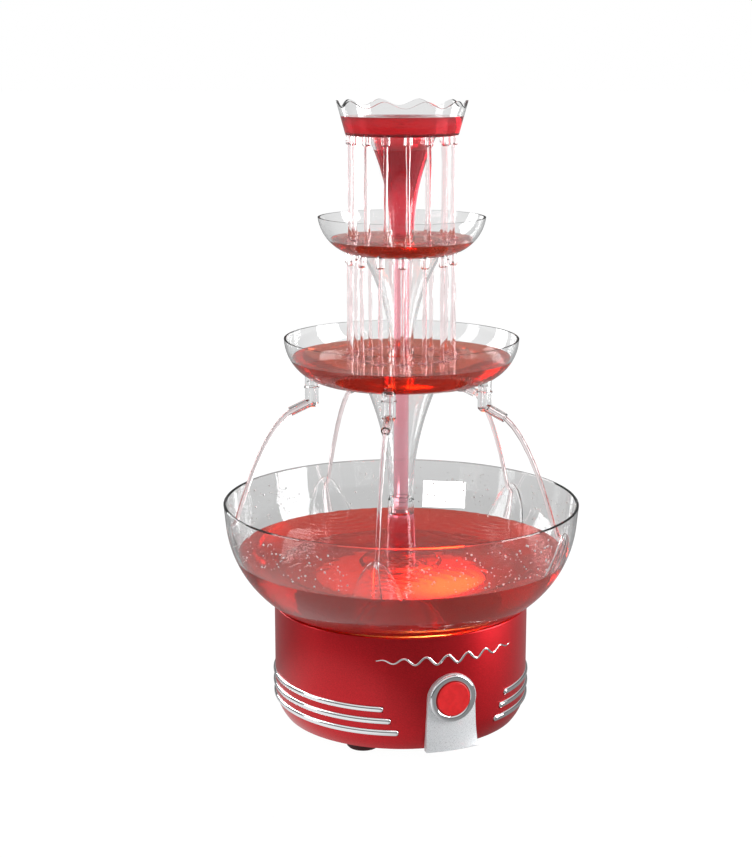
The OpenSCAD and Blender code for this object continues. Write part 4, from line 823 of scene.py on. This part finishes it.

# %% [markdown]
# ## Studio
# A plain floor and a white surround. Seen direct, both are white and hold hardly any shadow. Seen
# through plastic they are a little greyer, which lets the clear bowls stand out, and mirrored they
# are darker, apart from a white patch painted on the floor by the base, which the chrome mirrors as
# a painted reflection, and the sky overhead.

# %% Brightness by kind of ray
def by_ray(tree, other, through, mirrored, direct):
    """A level for light that lands on things, is seen through plastic, mirrored, or seen direct."""
    path = add(tree, "ShaderNodeLightPath")
    level = other
    # A ray bent by plastic counts as glossy too, so the test for it comes after that one
    for kind, value in (("Is Glossy Ray", mirrored), ("Is Transmission Ray", through),
                        ("Is Camera Ray", direct)):
        level = add(tree, "ShaderNodeMapRange", {"Value": path.outputs[kind], "To Min": level,
                    "To Max": value}).outputs["Result"]
    return level


# %% Floor
FLOOR_HALF_SIZE = 60
# How much of the floor is drawn at a set level, the rest being lit and shaded by the lights
LEVEL_SHARE = 0.95
floor_mesh = bmesh.new()
bmesh.ops.create_grid(floor_mesh, x_segments=1, y_segments=1, size=FLOOR_HALF_SIZE)
data = bpy.data.meshes.new("floor")
floor_mesh.to_mesh(data)
floor_mesh.free()
floor = bpy.data.objects.new("floor", data)
scene.collection.objects.link(floor)
floor_finish, tree, shader = material("white_studio_floor", Roughness=0.9)
mottle = surface(tree, 200)
tree.links.new(graded(tree, mottle.outputs["Fac"], linear("#F2F2F2"), linear("#F6F6F6")),
               shader.inputs["Base Color"])
place = add(tree, "ShaderNodeTexCoord")
away = add(tree, "ShaderNodeVectorMath", {0: place.outputs["Object"]}, operation="LENGTH")
# Painted shade: seen through the bowls, the floor right behind the fountain is greyer than the far
# floor
painted_shade_near_fountain = add(tree, "ShaderNodeMapRange", {"Value": away.outputs["Value"], "From Min": 0.7,
                "From Max": 2.2, "To Min": 0.5, "To Max": 0.86})
# Painted reflection: a white patch, shown only to mirrored rays, is painted on the floor at the
# left of the base, where only the chrome strips mirror it
from_painted_reflection_patch = add(tree, "ShaderNodeVectorMath", {0: place.outputs["Object"], 1: (-0.28, -0.1, 0)},
                operation="DISTANCE")
painted_reflection_patch = add(tree, "ShaderNodeMapRange", {"Value": from_painted_reflection_patch.outputs["Value"], "From Min": 0.16,
           "From Max": 0.32, "To Min": 1.0, "To Max": 0.24})
shown = add(tree, "ShaderNodeEmission", {"Strength": by_ray(tree, 0.0,
            painted_shade_near_fountain.outputs["Result"], painted_reflection_patch.outputs["Result"], 1.04)})
share = by_ray(tree, 0.0, LEVEL_SHARE, LEVEL_SHARE, LEVEL_SHARE)
both = add(tree, "ShaderNodeMixShader", {"Fac": share, 1: shader.outputs["BSDF"],
           2: shown.outputs["Emission"]})
tree.links.new(both.outputs["Shader"], tree.nodes["Material Output"].inputs["Surface"])
data.materials.append(floor_finish)

# %% Surround
world = bpy.data.worlds.new("studio")
scene.world = world
world.use_nodes = True
tree = world.node_tree
back = tree.nodes["Background"]
back.inputs["Color"].default_value = (1, 1, 1, 1)
heading = add(tree, "ShaderNodeTexCoord")
upward = add(tree, "ShaderNodeSeparateXYZ", {"Vector": heading.outputs["Generated"]})
sky = add(tree, "ShaderNodeMapRange", {"Value": upward.outputs["Z"], "From Min": 0.2,
          "From Max": 0.65, "To Min": 0.14, "To Max": 1.0})
# The drink's surface mirrors the studio above the horizon, which is darker than the horizon
above = add(tree, "ShaderNodeMapRange", {"Value": upward.outputs["Z"], "From Min": 0.03,
            "From Max": 0.13, "To Min": 0.86, "To Max": 0.26})
level = by_ray(tree, 0.42, above.outputs["Result"], sky.outputs["Result"], 1.0)
tree.links.new(level, back.inputs["Strength"])


# %% Soft boxes
def soft_box(name, azimuth, reach, height, size, power, aim_z=250):
    """A rectangular studio light that faces the fountain."""
    light = bpy.data.lights.new(name, "AREA")
    light.shape = "RECTANGLE"
    light.size, light.size_y = size
    light.energy = power
    lamp = bpy.data.objects.new(name, light)
    lamp.location = around(azimuth, reach, height) * MM
    aim = Vector((0, 0, aim_z * MM)) - lamp.location
    lamp.rotation_euler = aim.to_track_quat("-Z", "Y").to_euler()
    lamp.visible_camera = False
    scene.collection.objects.link(lamp)


soft_box("key", 62, 1500, 650, (0.8, 1.3), 34)
soft_box("left", -104, 1400, 700, (0.4, 1.3), 6)
soft_box("rim", -150, 1500, 800, (0.7, 1.2), 16)
soft_box("overhead", 0, 300, 1900, (1.0, 1.0), 12)
soft_box("window", 149.8, 403.7, 130, (0.053, 0.033), 0.012, 235)
